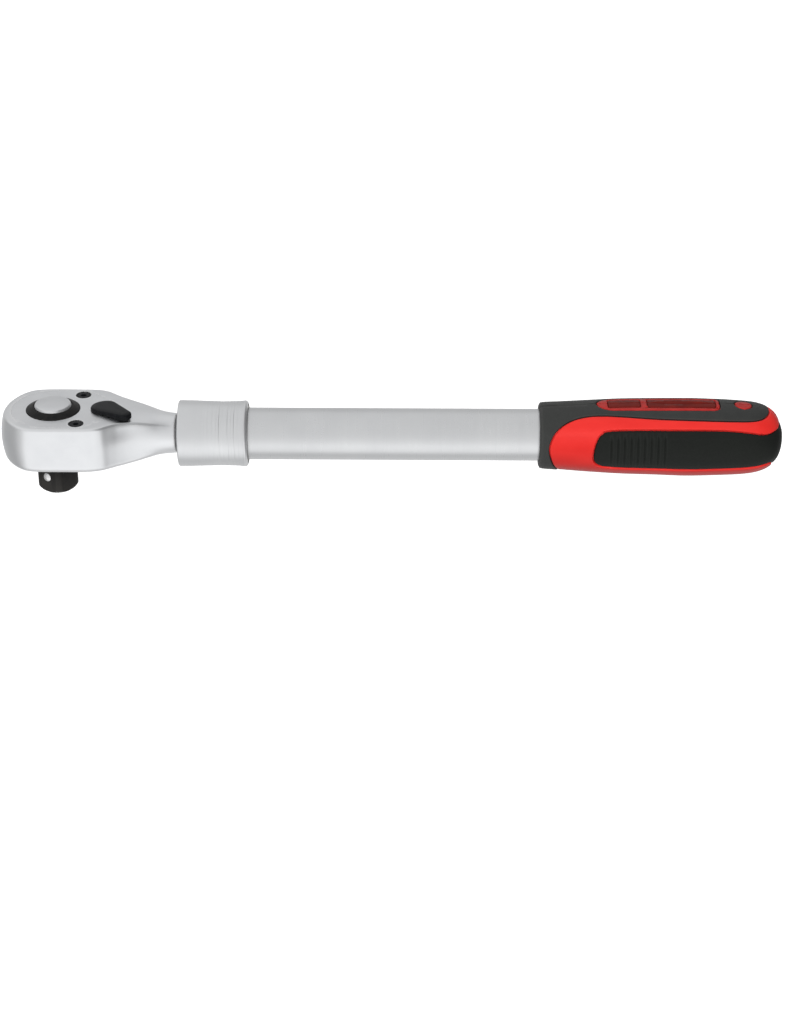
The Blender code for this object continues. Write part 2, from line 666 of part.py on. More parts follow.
def grip_form(name, inset, start=None):
    """The grip's outer form, drawn in by inset. Its section is a circle that sags a little."""
    x, top, under = np.array(GRIP_STATIONS).T
    kept = [i for i in range(len(x)) if min(top[i], under[i]) - inset > 2.5]
    bm = bmesh.new()
    loops = []
    for i in kept:
        loop = []
        place = x[i] if i or start is None else start
        for angle in np.linspace(0, math.tau, GRIP_SIDES, endpoint=False):
            radius = (top[i] + under[i]) / 2 + (top[i] - under[i]) / 2 * math.sin(angle) - inset
            point = Vector((place, radius * math.cos(angle), radius * math.sin(angle)))
            loop.append(bm.verts.new(point * MM))
        loops.append(loop)
    for one, two in zip(loops, loops[1:]):
        for i in range(GRIP_SIDES):
            j = (i + 1) % GRIP_SIDES
            bm.faces.new((one[i], one[j], two[j], two[i]))
    bm.faces.new(loops[0])
    peak = bm.verts.new(((GRIP_END - inset) * MM, 0, 0))
    last = loops[-1]
    for i in range(GRIP_SIDES):
        bm.faces.new((last[i], last[(i + 1) % GRIP_SIDES], peak))
    return settle(from_bmesh(name, bm, UPRIGHT))


def wedge(name, low, high, start, end, slack):
    """A sector round the handle between two elevations in degrees, reaching past the grip."""
    reach = 22
    a, b = math.radians(low), math.radians(high)
    outline = [(0, 0)] + arc(0, 0, reach, a, b, max(2, int((high - low) / 15)))
    shift = Vector((0, math.cos((a + b) / 2), math.sin((a + b) / 2))) * (slack / math.sin((b - a) / 2))
    return prism(name, outline, start - slack, end + slack, Matrix.Translation(-shift * MM) @ ACROSS)


def windows(slack):
    """The stretches of core that show, on both flanks, drawn out by slack."""
    made = []
    for low, high, start, end in CORE_WINDOWS:
        made.append(wedge("cut_window", low, high, start, end, slack))
        made.append(wedge("cut_window", 180 - high, 180 - low, start, end, slack))
    return made


def make_grip():
    bore = rod("cut_tube_bore", TUBE_RADIUS + 0.15, 180, TUBE_END + 0.4, 48, LENGTHWISE)
    half, start, end = LABEL
    badge_spot = at(BADGE_X)

    # the core stands at full height in its windows and is drawn in under the overmould
    relief = rod("cut_relief", 25, 189, 290, 40, LENGTHWISE)
    combine(relief, [grip_form("cut_core_form", OVERMOLD_DEPTH, 185), *windows(-0.15)])
    core = combine(grip_form("grip_core", 0), [relief, bore])

    overmold = grip_form("grip_overmold", 0)
    combine(overmold, [grip_form("cut_overmold_bed", OVERMOLD_DEPTH - OVERMOLD_GAP, 185), *windows(0.15)])
    combine(overmold, [wedge("cut_label_room", 90 - half, 90 + half, start, end, 0.2)])
    combine(overmold, [rod("cut_badge_room", BADGE_RADIUS + 0.2, 8, 20, 24, badge_spot)])

    label = combine(grip_form("grip_label", 0.15), [grip_form("cut_label_bed", OVERMOLD_DEPTH - 0.3, 185)])
    combine(label, [wedge("cut_label_shape", 90 - half, 90 + half, start, end, 0)], "INTERSECT")
    badge = combine(grip_form("grip_badge", 0.15), [grip_form("cut_badge_bed", OVERMOLD_DEPTH - 0.3, 185)])
    combine(badge, [rod("cut_badge_shape", BADGE_RADIUS, 8, 20, 24, badge_spot)], "INTERSECT")
    paint("red_plastic", core, label, badge)
    paint("black_rubber", overmold)


# ---- assembly ----------------------------------------------------------------------------------


def parent_moving_pieces():
    """Each moving group hangs from an empty that stands on its joint's axis."""
    lock_balls = {}
    for number, angle in enumerate(LOCK_ANGLES, 1):
        y, z = round_handle(angle, LOCK_BALL_CENTRE)
        lock_balls[f"lock_ball_{number}"] = ((LOCK_X, y, z), [f"lock_ball_{number}"])
    groups = {
        "drive": ((0, 0, 0), ["drive_gear", "release_spring"]),
        "release_button": ((0, 0, AXIS_Z + FACE_LEVEL), ["release_button", "release_plunger"]),
        "drive_ball": ((0, 0, AXIS_Z + BALL_LEVEL), ["drive_ball"]),
        "selector": (
            (STEM_X, 0, AXIS_Z),
            ["selector_lever", "selector_plunger", "selector_spring", "selector_circlip"],
        ),
        "pawl": ((PAWL_PIVOT_X, 0, AXIS_Z), ["pawl"]),
        "handle": (
            (TUBE_START, 0, AXIS_Z),
            ["handle_tube", "nose_bush", "collar_retaining_ring", "spring_seat_ring", "lock_spring",
             "grip_core", "grip_overmold", "grip_label", "grip_badge"],
        ),
        "lock_collar": ((COLLAR_START, 0, AXIS_Z), ["lock_collar"]),
        **lock_balls,
    }
    for name, (place, pieces) in groups.items():
        axis = bpy.data.objects.new(name + "_axis", None)
        axis.empty_display_size = 0.01
        axis.location = Vector(place) * MM
        PIECES.objects.link(axis)
        bpy.context.view_layer.update()
        for piece in pieces:
            obj = PIECES.objects[piece]
            obj.parent = axis
            obj.matrix_parent_inverse = axis.matrix_world.inverted()


for old in list(bpy.data.objects):
    bpy.data.objects.remove(old)
PIECES = new_collection("extendable_ratchet")
CUTTERS = new_collection("cutters")
CUTTERS.hide_render = True

make_head()
make_drive()
make_pawl()
make_selector()
make_rod()
make_tube()
make_collar()
make_grip()
parent_moving_pieces()
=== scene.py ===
"""The looks of the telescopic ratchet: fine surfaces, materials, floor, light and camera.

Sizes are in millimetres, and MM turns them into Blender's metres. X runs along the handle towards the grip
and Z points up. Heights named "level" are measured from the handle's axis. Elevations are angles round that
axis: 0 points to the side that faces the camera (-Y), 90 points up.
"""

import math

import bmesh
import bpy
import numpy as np
from mathutils import Matrix, Vector
from mathutils.geometry import delaunay_2d_cdt
from mathutils.kdtree import KDTree


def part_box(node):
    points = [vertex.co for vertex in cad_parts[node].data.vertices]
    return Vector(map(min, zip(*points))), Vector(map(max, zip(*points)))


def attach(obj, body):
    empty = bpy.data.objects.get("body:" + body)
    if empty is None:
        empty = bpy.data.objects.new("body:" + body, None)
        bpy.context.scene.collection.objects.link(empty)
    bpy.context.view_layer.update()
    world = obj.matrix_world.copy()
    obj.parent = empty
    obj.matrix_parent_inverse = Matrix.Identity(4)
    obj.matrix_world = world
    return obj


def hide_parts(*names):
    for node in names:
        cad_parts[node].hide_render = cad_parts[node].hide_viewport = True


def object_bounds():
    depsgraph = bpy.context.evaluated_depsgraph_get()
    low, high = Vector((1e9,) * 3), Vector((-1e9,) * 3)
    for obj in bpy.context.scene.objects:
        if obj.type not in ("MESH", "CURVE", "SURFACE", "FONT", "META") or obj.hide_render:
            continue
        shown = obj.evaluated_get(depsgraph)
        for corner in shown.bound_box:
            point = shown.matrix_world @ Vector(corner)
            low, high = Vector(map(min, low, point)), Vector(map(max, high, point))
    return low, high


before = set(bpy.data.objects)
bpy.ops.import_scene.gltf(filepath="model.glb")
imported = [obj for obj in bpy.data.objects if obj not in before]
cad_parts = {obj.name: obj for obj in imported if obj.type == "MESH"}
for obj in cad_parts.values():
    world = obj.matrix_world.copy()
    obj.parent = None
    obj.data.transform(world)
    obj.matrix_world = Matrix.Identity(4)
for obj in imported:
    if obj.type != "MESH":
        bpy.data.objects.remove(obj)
CAD_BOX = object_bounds()

MM = 0.001
WELD = 0.0000015  # metres: points this close are one
SMOOTH_ANGLE = math.radians(32)


def extent(node):
    """A CAD node's lowest and highest corner in millimetres."""
    low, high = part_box(node)
    return low / MM, high / MM


TUBE_LOW, TUBE_HIGH = extent("handle_tube")
AXIS_Z = (TUBE_LOW.z + TUBE_HIGH.z) / 2
UPRIGHT = Matrix.Translation((0, 0, AXIS_Z * MM))
LENGTHWISE = UPRIGHT @ Matrix.Rotation(math.pi / 2, 4, "Y")

# Head
NOSE_RADIUS = 20.66
HEAD_HALF_WIDTH = 18.5
FACE_LEVEL = 10.3
BELLY_LEVEL = -8.9
# x, half width, top level, bottom level, how far the section's upper and lower parts have become an oval,
# and how deep the walls are scooped below the face
HEAD_STATIONS = [
    (0, 18.45, 10.3, -8.9, 0.0, 0.0, 0.0),
    (8, 18.4, 10.3, -8.9, 0.0, 0.0, 0.0),
    (13, 18.3, 10.3, -8.9, 0.0, 0.0, 0.0),
    (17, 17.8, 10.3, -8.9, 0.0, 0.0, 0.0),
    (20, 16.9, 10.3, -8.85, 0.02, 0.0, 0.1),
    (23, 15.2, 10.3, -8.8, 0.06, 0.0, 0.5),
    (26.4, 13.4, 10.25, -8.65, 0.13, 0.0, 0.9),
    (30, 11.8, 10.1, -8.5, 0.24, 0.05, 0.8),
    (34, 10.4, 9.7, -8.3, 0.38, 0.2, 0.4),
    (38, 9.4, 9.1, -8.1, 0.56, 0.5, 0.1),
    (42, 8.6, 8.5, -7.95, 0.78, 0.84, 0.0),
    (46, 8.05, 8.1, -7.8, 0.97, 0.98, 0.0),
    (47.6, 7.9, 7.95, -7.75, 1.0, 1.0, 0.0),
    (48.5, 7.5, 7.55, -7.4, 1.0, 1.0, 0.0),
]
FACE_EDGE = 1.0
NOSE_EDGE = 1.7  # the same edge at the very nose
BELLY_EDGE = 2.6
# the nose is a barrel: it is fullest at this level, and drawn in by this much 10 mm above and below it
BARREL_LEVEL = 0.5
BARREL_DEPTH = 1.65
SCOOP_LEVELS = (1, 7.5)  # the scoop grows from nothing to its full depth between these
# the section's outline has five stretches: top, face edge, wall, belly edge, bottom
SECTION_STOPS = (0, 1, 4, 5, 9, 10)
SECTION_POINTS = (8, 12, 10, 16, 7)
CAVITY_RADIUS = 12.9
CAVITY_FLOOR = -5.3
DRIVE_BORE_RADIUS = 9.25
PAWL_POCKET = [(8, -9.9), (17.2, -9.9), (18.2, -8.9), (18.2, 8.9), (17.2, 9.9), (8, 9.9)]
PAWL_PIVOT_X = 14.95
PAWL_PIN_BORE = (1.05, -7.5)  # radius and floor
STEM_TAIL_BORE = (1.85, -7.3)
STEM_POCKET_RADIUS = 3.7
ROD_SOCKET = (5.2, 36.5)  # radius, and x of its end wall

# Cover plate and its screws
COVER_SEAT = 8.0
COVER_TOP = FACE_LEVEL - 0.01
COVER_GAP = 0.02
COVER_EDGE = 0.03
COVER_GRID = 1.3
SCREWS = [(10.4, 12.6), (10.4, -12.6)]
SCREW_THREAD = (1.45, 0.5)  # radius and floor
SCREW_PASSAGE_RADIUS = 1.6
COVER_LOBES = [(0, 0, 16.2), *((*place, 3.6) for place in SCREWS), (20, 0, 7.0)]
RECESS_RADIUS = 3.0
RECESS_LEVEL = 8.8
RECESS_EDGE = 0.14
RECESS_RINGS = (2.0, 2.97, RECESS_RADIUS, 3.06, 3.14, 3.3)  # rows of points round a recess

# Drive
TEETH = 72
TIP_RADIUS = 12.5
ROOT_RADIUS = 11.9
GEAR_LEVELS = (-5.1, 6.1)
HUB_RADIUS = 10.4
HUB_EDGE = 10.45
HUB_GAP = 0.2
HUB_TOP = (7.9, 11.85)
SQUARE = 12.7
SQUARE_CORNER = 2.8
SQUARE_TURN = math.radians(55)
BALL_RADIUS = 2.25
BALL_LEVEL = 6.2 - AXIS_Z
BALL_CENTRE = 4.95
BALL_ANGLE = math.radians(-125)
BALL_OUTWARDS = Vector((math.cos(BALL_ANGLE), math.sin(BALL_ANGLE), 0))
BALL_BORE_RADIUS = 2.42
BALL_MOUTH_RADIUS = 2.07
PLUNGER_BORE_RADIUS = 2.8
BUTTON_BORE_RADIUS = 7.5
DOME_RADIUS, DOME_LEVEL = 6.95, 12.5  # the button's dome, which is 1 mm high

# Selector lever
STEM_X = 20.0
STEM_RADIUS = 2.2
STEM_GAP = 0.3
SELECTOR_BORE_RADIUS = 1.15
LEVER_ANGLE = math.radians(42)
LEVER_REACH = 11.5
LEVER_TIP_RADIUS = 2.9
LEVER_BOSS_RADIUS = 5.3
LEVER_GAP = 0.15
LEVER_EDGES = (0.3, 0.8)  # radii of its lower and upper edges
LEVER_CROWN = [(-5, 11.5), (-1, 11.9), (4, 12.1), (9, 12.6), (13, 12.7), (15, 12.3)]  # reach, level

# Telescopic rod
ROD_RADIUS = 7.0
ROD_END = 214.0
TRAVEL = 140.0
PIT_PITCH = 20.0
LOCK_X = 62.0
LOCK_ANGLES = [math.radians(a) for a in (90, 210, 330)]
LOCK_BALL_CENTRE = 8.25
TRACK_RADIUS = 2.2
PIT = [(0, 5.5), (0.7, 5.5), (1.8, 7.0), (0, 7.0)]
END_SCREW_BORE_RADIUS = 2.3

# Handle tube and collar
TUBE_RADIUS = (TUBE_HIGH.z - TUBE_LOW.z) / 2
TUBE_BORE = 8.45
RING_GROOVES = [(51.2, 52.2), (74.6, 76.0)]
RING_GROOVE_DEPTH = 0.4
LOCK_HOLE_RADIUS = 2.12
COLLAR_START, COLLAR_END = (corner.x for corner in extent("lock_collar"))
COLLAR_RADIUS = 13.0
COLLAR_WAIST = 12.6
COLLAR_EDGES = (0.6, 1.3)  # radii of its front and rear edges
GROOVE_PITCH = 1.45

# Grip: x, radius at the top, radius underneath, from the front face round to the rear end
GRIP_LINE = [
    (190.0, 10.45, 10.45),
    (190.0, 12.0, 12.2),
    (190.3, 12.65, 12.9),
    (191.1, 12.9, 13.25),
    (198.6, 13.25, 13.8),
    (210, 13.85, 14.65),
    (224, 14.5, 15.4),
    (236, 14.65, 15.7),
    (248, 14.7, 16.1),
    (260, 14.4, 15.8),
    (269, 13.9, 15.4),
    (274, 13.4, 14.8),
    (278.5, 12.2, 13.5),
    (280.9, 11.0, 12.1),
    (283.2, 8.7, 9.5),
    (285.0, 4.4, 4.8),
    (285.6, 0, 0),
]
GRIP_MEAN = 14.5  # radius that turns elevations into distances on the unrolled grip
SHELL_DEPTH = 1.5
CORE_GAP = 0.1
CORE_SHORT = (3.2, 2.5)  # how far the core stops short of the grip line's start and end
TUBE_GAP = 0.15
TUBE_END_GAP = 0.4
SEAM = 0.3  # gap between neighbouring shells
SEAM_EDGE = 0.55  # radius of their rounded edges
CROWN = 0.5  # how far the side pads fall away towards their edges
CROWN_REACH = 5.0
# curves on the grip's near half, as (x, elevation)
RED_FRONT = [
    (198.6, -90), (198.0, -70), (196.6, -50), (195.2, -33), (194.1, -15), (193.6, 2), (194.7, 20),
    (197.4, 37), (202.0, 51), (208.0, 58.3), (214.3, 59.4), (224, 56.4), (236, 52.6), (252, 50.3),
    (267, 50.0), (273.6, 52.5), (277.2, 60), (279.2, 73), (279.8, 90),
]
PAD_EDGE = [
    (281.8, -90), (281.8, -60), (281.0, -38), (277, -33.5), (262, -34.0), (240, -34.4), (219, -34.0),
    (213.2, -30.5), (210.9, -19), (210.8, -3), (211.7, 14), (213.6, 27.2), (218.8, 33.9), (245, 34.6),
    (262, 34.2), (271.0, 31.0), (277, 28.8), (281, 34.5), (283.3, 49), (284.0, 70), (284.1, 90),
]
LABEL_EDGE = [
    (212.0, 90), (212.6, 83), (214.2, 76), (217.2, 70.8), (222, 69.6), (239, 69), (254.5, 69.4),
    (258.6, 70.8), (260.0, 76), (260.2, 90),
]
LABEL_FIELDS = [(216.5, 229.2, 76.4), (231.8, 258.6, 75.6)]  # start, end, lowest elevation
FIELD_SEAM = 0.05
BADGE_X, BADGE_RADIUS = 269.5, 3.5
RIBS = (217.6, 238.4)
RIB_PITCH = 2.6
RIB_DEPTH = 0.42
GRIP_GRID = 1.1

# Camera
CAMERA_RISE = math.radians(27)
CAMERA_LIFT = math.radians(1.95)  # it is tipped down by this too, so the tool stands higher in the picture
CAMERA_ROLL = math.radians(0.28)
CAMERA_AIM_X = 135.75
CAMERA_DISTANCE = 0.9  # metres
CAMERA_LENS = 80.47

# Light, in metres. The tent's tones are stops of (place, tone) along a direction
FLOOR_HALF = 6.0
FLOOR_GLOW = 0.8
LIGHT_AIM = (0.14, 0, 0.02)
LIGHT_SIZE = 1.0
LIGHTS = {"key": ((0.1, -1.45, 0.72), 24), "rim": ((0.5, 1.4, 1.5), 6)}  # place, power
TENT_STRENGTH = 1.16
# from the back round underneath, with 0.25 straight down, 0.5 to the front and 0.75 up
TENT_TONES = [
    (0, 0.62), (0.2, 0.66), (0.26, 0.56), (0.3, 0.62), (0.345, 0.95), (0.42, 1.0), (0.47, 0.86),
    (0.53, 0.76), (0.6, 0.72), (0.75, 0.69), (0.85, 0.67), (0.93, 0.53), (1, 0.51),
]
# from beyond the nose to beyond the grip, slanting with height
SIDE_TONES = [(0.08, 0.58), (0.17, 0.62), (0.24, 1.0), (0.69, 1.0), (0.79, 0.34), (1, 0.32)]
SIDE_SCALE = 0.4
SIDE_SLANT = 0.25
# share of the tent that matt surfaces don't get, from below to above: the lamps light those
MATT_LOSS = [(0, 0.9), (0.4, 0.85), (0.5, 0.7), (0.7, 0.6), (1, 0.55)]


# ---- mesh helpers ----


def new_object(name, bm):
    bmesh.ops.recalc_face_normals(bm, faces=bm.faces)
    mesh = bpy.data.meshes.new(name)
    bm.to_mesh(mesh)
    bm.free()
    obj = bpy.data.objects.new(name, mesh)
    bpy.context.scene.collection.objects.link(obj)
    return obj


def placed(bm, matrix=UPRIGHT):
    """Turns a mesh in millimetres into metres, and puts it in its place."""
    bmesh.ops.transform(bm, matrix=matrix @ Matrix.Scale(MM, 4), verts=bm.verts)
    return bm


def skin(bm, rings):
    """Faces between rings of points. A ring of one point closes the end."""
    for one, two in zip(rings, rings[1:]):
        count = max(len(one), len(two))
        for i in range(count if count > 1 else 0):
            j = (i + 1) % count
            corners = [one[i % len(one)], one[j % len(one)], two[j % len(two)], two[i % len(two)]]
            bm.faces.new(list(dict.fromkeys(corners)))


def turned(profile, matrix=UPRIGHT, steps=96):
    """A turned solid. The profile is (radius, place along the axis), and closes on itself or the axis."""
    bm = bmesh.new()
    angles = np.linspace(0, math.tau, steps, endpoint=False)
    rings = []
    for radius, place in profile:
        if radius == 0:
            rings.append([bm.verts.new((0, 0, place))])
        else:
            rings.append([bm.verts.new((radius * math.cos(a), radius * math.sin(a), place)) for a in angles])
    if profile[0][0] > 0:
        rings.append(rings[0])
    skin(bm, rings)
    return placed(bm, matrix)


def rod(radius, low, high, matrix=UPRIGHT, steps=64):
    return turned([(0, low), (radius, low), (radius, high), (0, high)], matrix, steps)


def prism(outline, low, high, matrix=UPRIGHT):
    """A flat outline made thick along the matrix's Z."""
    bm = bmesh.new()
    rings = [[bm.verts.new((x, y, z)) for x, y in outline] for z in (low, high)]
    skin(bm, rings)
    bm.faces.new(rings[0])
    bm.faces.new(rings[1])
    return placed(bm, matrix)


def sphere(radius, centre, steps=48):
    profile = [(0, -radius)]
    profile += [(radius * math.cos(a), radius * math.sin(a)) for a in np.linspace(-1.5, 1.5, steps // 2)]
    return turned([*profile, (0, radius)], Matrix.Translation(Vector(centre) * MM), steps)


def settle(obj):
    """Puts the result of an object's modifiers into its mesh, and closes hairline gaps in it."""
    bpy.context.view_layer.update()
    graph = bpy.context.evaluated_depsgraph_get()
    mesh = bpy.data.meshes.new_from_object(obj.evaluated_get(graph), depsgraph=graph)
    bm = bmesh.new()
    bm.from_mesh(mesh)
    bmesh.ops.remove_doubles(bm, verts=bm.verts, dist=WELD)
    bmesh.ops.dissolve_degenerate(bm, edges=bm.edges, dist=WELD)
    bm.to_mesh(mesh)
    bm.free()
    obj.modifiers.clear()
    obj.data = mesh


def combine(obj, tools, operation="DIFFERENCE"):
    for bm in tools:
        tool = new_object("tool", bm)
        modifier = obj.modifiers.new("combine", "BOOLEAN")
        modifier.object = tool
        modifier.operation = operation
        modifier.solver = "EXACT"
        settle(obj)
        bpy.data.objects.remove(tool)
    return obj


def mark_edges(obj):
    """Stores how sharply the surface turns at each point, which the finishes use for wear."""
    bm = bmesh.new()
    bm.from_mesh(obj.data)
    wear = np.zeros(len(bm.verts), np.float32)
    for edge in bm.edges:
        if len(edge.link_faces) == 2:
            turn = edge.calc_face_angle_signed(0)
            for vert in edge.verts:
                wear[vert.index] = max(wear[vert.index], turn)
    bm.free()
    attribute = obj.data.attributes.new("edge_wear", "FLOAT", "POINT")
    attribute.data.foreach_set("value", np.clip(wear / math.radians(28), 0, 1))


def install(obj, material, slot, body, *nodes):
    """Shades a piece, gives it its finish, and hangs it on its body in place of the CAD nodes."""
    obj.data.shade_smooth()
    obj.data.set_sharp_from_angle(angle=SMOOTH_ANGLE)
    mark_edges(obj)
    obj.data.materials.clear()
    obj.data.materials.append(material)
    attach(obj, body)
    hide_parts(*nodes)
    return obj


# ---- outlines and curves ----


def arc(x, y, radius, start, end, steps):
    angles = np.linspace(start, end, steps + 1)
    return [(x + radius * math.cos(a), y + radius * math.sin(a)) for a in angles]


def turn_of(a, b, c):
    return (b[0] - a[0]) * (c[1] - a[1]) - (b[1] - a[1]) * (c[0] - a[0])


def hull(circles, growth=0.0, steps=96):
    """The outline of a band stretched round some circles, given as (x, y, radius)."""
    points = sorted(p for x, y, r in circles for p in arc(x, y, r + growth, 0, math.tau, steps)[:-1])
    outline = []
    for run in (points, points[::-1]):
        side = []
        for p in run:
            while len(side) > 1 and turn_of(side[-2], side[-1], p) <= 1e-6:
                side.pop()
            side.append(p)
        outline += side[:-1]
    return outline


def spin(points, x, y, angle):
    """Points turned about (x, y)."""
    c, s = math.cos(angle), math.sin(angle)
    return [(x + (u - x) * c - (v - y) * s, y + (u - x) * s + (v - y) * c) for u, v in points]


def pointing(origin, direction):
    """A matrix that puts its origin at a point in millimetres and its Z along a direction."""
    turn = Vector(direction).to_track_quat("Z", "Y").to_matrix().to_4x4()
    return Matrix.Translation(Vector(origin) * MM) @ turn


def at(x, y=0):
    return Matrix.Translation((x * MM, y * MM, 0)) @ UPRIGHT


def soften(profile, amount, steps=4):
    """A turned profile with its corners rounded. A profile on the axis keeps its two end points."""
    points = [np.array(p, float) for p in profile]
    ring = profile[0][0] > 0
    smooth = []
    for i, corner in enumerate(points):
        if not ring and i in (0, len(points) - 1):
            smooth.append(tuple(corner))
            continue
        arms = []
        for other in (points[i - 1], points[(i + 1) % len(points)]):
            length = np.linalg.norm(other - corner)
            arms.append(corner + (other - corner) * min(amount / length, 0.45))
        for t in np.linspace(0, 1, steps + 1):
            smooth.append(tuple((1 - t) ** 2 * arms[0] + 2 * t * (1 - t) * corner + t**2 * arms[1]))
    return smooth


def flowing(table, places):
    """Smooth values between the rows of a table whose first column is the place. They never overshoot."""
    table = np.array(table, float)
    x, values = table[:, 0], table[:, 1:]
    secants = np.diff(values, axis=0) / np.diff(x)[:, None]
    before, after = secants[:-1], secants[1:]
    level = before * after <= 0
    between = np.where(level, 0, 2 * before * after / np.where(level, 1, before + after))
    slopes = np.vstack([secants[:1], between, secants[-1:]])
    i = np.clip(np.searchsorted(x, places, side="right") - 1, 0, len(x) - 2)
    width = (x[i + 1] - x[i])[:, None]
    t = ((places - x[i])[:, None]) / width
    return (
        (2 * t**3 - 3 * t**2 + 1) * values[i]
        + (t**3 - 2 * t**2 + t) * width * slopes[i]
        + (3 * t**2 - 2 * t**3) * values[i + 1]
        + (t**3 - t**2) * width * slopes[i + 1]
    )


# ---- shells made from flat outlines ----


def through(points, step=0.5):
    """A smooth curve through points, whose ends meet the flat domain's upper or lower side squarely."""
    points = np.array(points, float)
    first = [points[1][0], 2 * points[0][1] - points[1][1]]
    last = [points[-2][0], 2 * points[-1][1] - points[-2][1]]
    held = np.vstack([first, points, last])
    t = np.linspace(0, 1, 24, endpoint=False)[:, None]
    fine = []
    for a, b, c, d in zip(held, held[1:], held[2:], held[3:]):
        square, cube = 2 * a - 5 * b + 4 * c - d, 3 * b - a - 3 * c + d
        fine.append(0.5 * (2 * b + (c - a) * t + square * t**2 + cube * t**3))
    fine = np.vstack([*fine, points[-1:]])
    return resampled(fine, step)


def resampled(line, step):
    lengths = np.append(0, np.cumsum(np.linalg.norm(np.diff(line, axis=0), axis=1)))
    places = np.linspace(0, lengths[-1], max(4, round(lengths[-1] / step)))
    return np.column_stack([np.interp(places, lengths, line[:, k]) for k in (0, 1)])


def beside(curve, amount):
    """A curve moved to its left. Its ends stay on the domain's sides, and a closed curve stays closed."""
    closed = np.allclose(curve[0], curve[-1])
    ahead = np.gradient(curve, axis=0)
    if closed:
        ahead[0] = ahead[-1] = curve[1] - curve[-2]
    ahead /= np.linalg.norm(ahead, axis=1)[:, None]
    moved = curve + amount * np.column_stack([-ahead[:, 1], ahead[:, 0]])
    if not closed:
        moved[[0, -1], 1] = curve[[0, -1], 1]
    return moved


def inside(points, outline, holes=()):
    """Which points lie within a closed outline and outside its holes."""
    x, y = points[:, 0][:, None], points[:, 1][:, None]
    a, b = outline, np.roll(outline, -1, axis=0)
    crosses = (a[:, 1] > y) != (b[:, 1] > y)
    rise = np.where(b[:, 1] == a[:, 1], 1, b[:, 1] - a[:, 1])
    where = (b[:, 0] - a[:, 0]) * (y - a[:, 1]) / rise + a[:, 0]
    within = (crosses & (x < where)).sum(axis=1) % 2 == 1
    for hole in holes:
        within &= ~inside(points, hole)
    return within


def net(outline, holes, edges, grid, edge):
    """Triangles that fill an outline, with rows of points along its rounded edges.

    Edges are curves with the filled side on their left. Returns points, triangles, and how far each point
    lies from the nearest edge."""
    rows = [0.12, 0.3, 0.55, 0.8, 1.0, 1.6]
    found = [beside(curve, share * edge) for curve in edges for share in rows]
    depths = [np.full(len(curve), share * edge) for curve in edges for share in rows]
    tree = KDTree(sum(len(curve) for curve in edges))
    for i, p in enumerate(np.vstack(edges)):
        tree.insert((*p, 0), i)
    tree.balance()
    distance = np.array([tree.find((*p, 0))[2] for p in grid])
    clear = distance > edge * 2.4
    points = np.vstack([*found, grid[clear]])
    depth = np.concatenate([*depths, distance[clear]])
    keep = inside(points, outline, holes)
    points, depth = points[keep], depth[keep]

    held, pairs = [], []
    for loop in (outline, *holes):
        start = sum(len(h) for h in held)
        held.append(loop)
        pairs += [(start + i, start + (i + 1) % len(loop)) for i in range(len(loop))]
    rim = np.vstack(held)
    rim_depth = np.array([tree.find((*p, 0))[2] for p in rim])
    everything = [Vector(p) for p in np.vstack([rim, points])]
    depth = np.concatenate([np.where(rim_depth < 0.02, 0, rim_depth), depth])
    made = delaunay_2d_cdt(everything, pairs, [], 0, 1e-6)
    verts = np.array([tuple(v) for v in made[0]])
    depth = np.array([min(depth[i] for i in came) if len(came) else 0 for came in made[3]])
    faces = np.array([f for f in made[2] if len(f) == 3])
    keep = inside(verts[faces].mean(axis=1), outline, holes)
    return verts, faces[keep], depth


def rounding(depth, edge):
    """How far a rounded edge lies below the surface, by distance from it."""
    short = np.clip(edge - depth, 0, edge)
    return edge - np.sqrt(edge**2 - short**2)


def shell(verts, faces, top, bottom, open_edge, mirror):
    """A closed solid between two surfaces that share one net of triangles. Mirror adds the far half."""
    bm = bmesh.new()
    ends = np.sort(np.vstack([faces[:, [0, 1]], faces[:, [1, 2]], faces[:, [2, 0]]]), axis=1)
    pairs, uses = np.unique(ends, axis=0, return_counts=True)
    rim = [p for p in pairs[uses == 1] if not open_edge(verts[p[0]], verts[p[1]])]
    for side in (1, -1) if mirror else (1,):
        up = [bm.verts.new((x, side * y, z)) for x, y, z in top]
        down = [bm.verts.new((x, side * y, z)) for x, y, z in bottom]
        for a, b, c in faces:
            bm.faces.new((up[a], up[b], up[c]))
            bm.faces.new((down[a], down[c], down[b]))
        for a, b in rim:
            bm.faces.new((up[a], up[b], down[b], down[a]))
    placed(bm)
    bmesh.ops.remove_doubles(bm, verts=bm.verts, dist=WELD)
    bmesh.ops.dissolve_degenerate(bm, edges=bm.edges, dist=WELD)
    loose = [v for v in bm.verts if not v.link_faces]
    bmesh.ops.delete(bm, geom=loose, context="VERTS")
    return bm


# ---- finishes ----


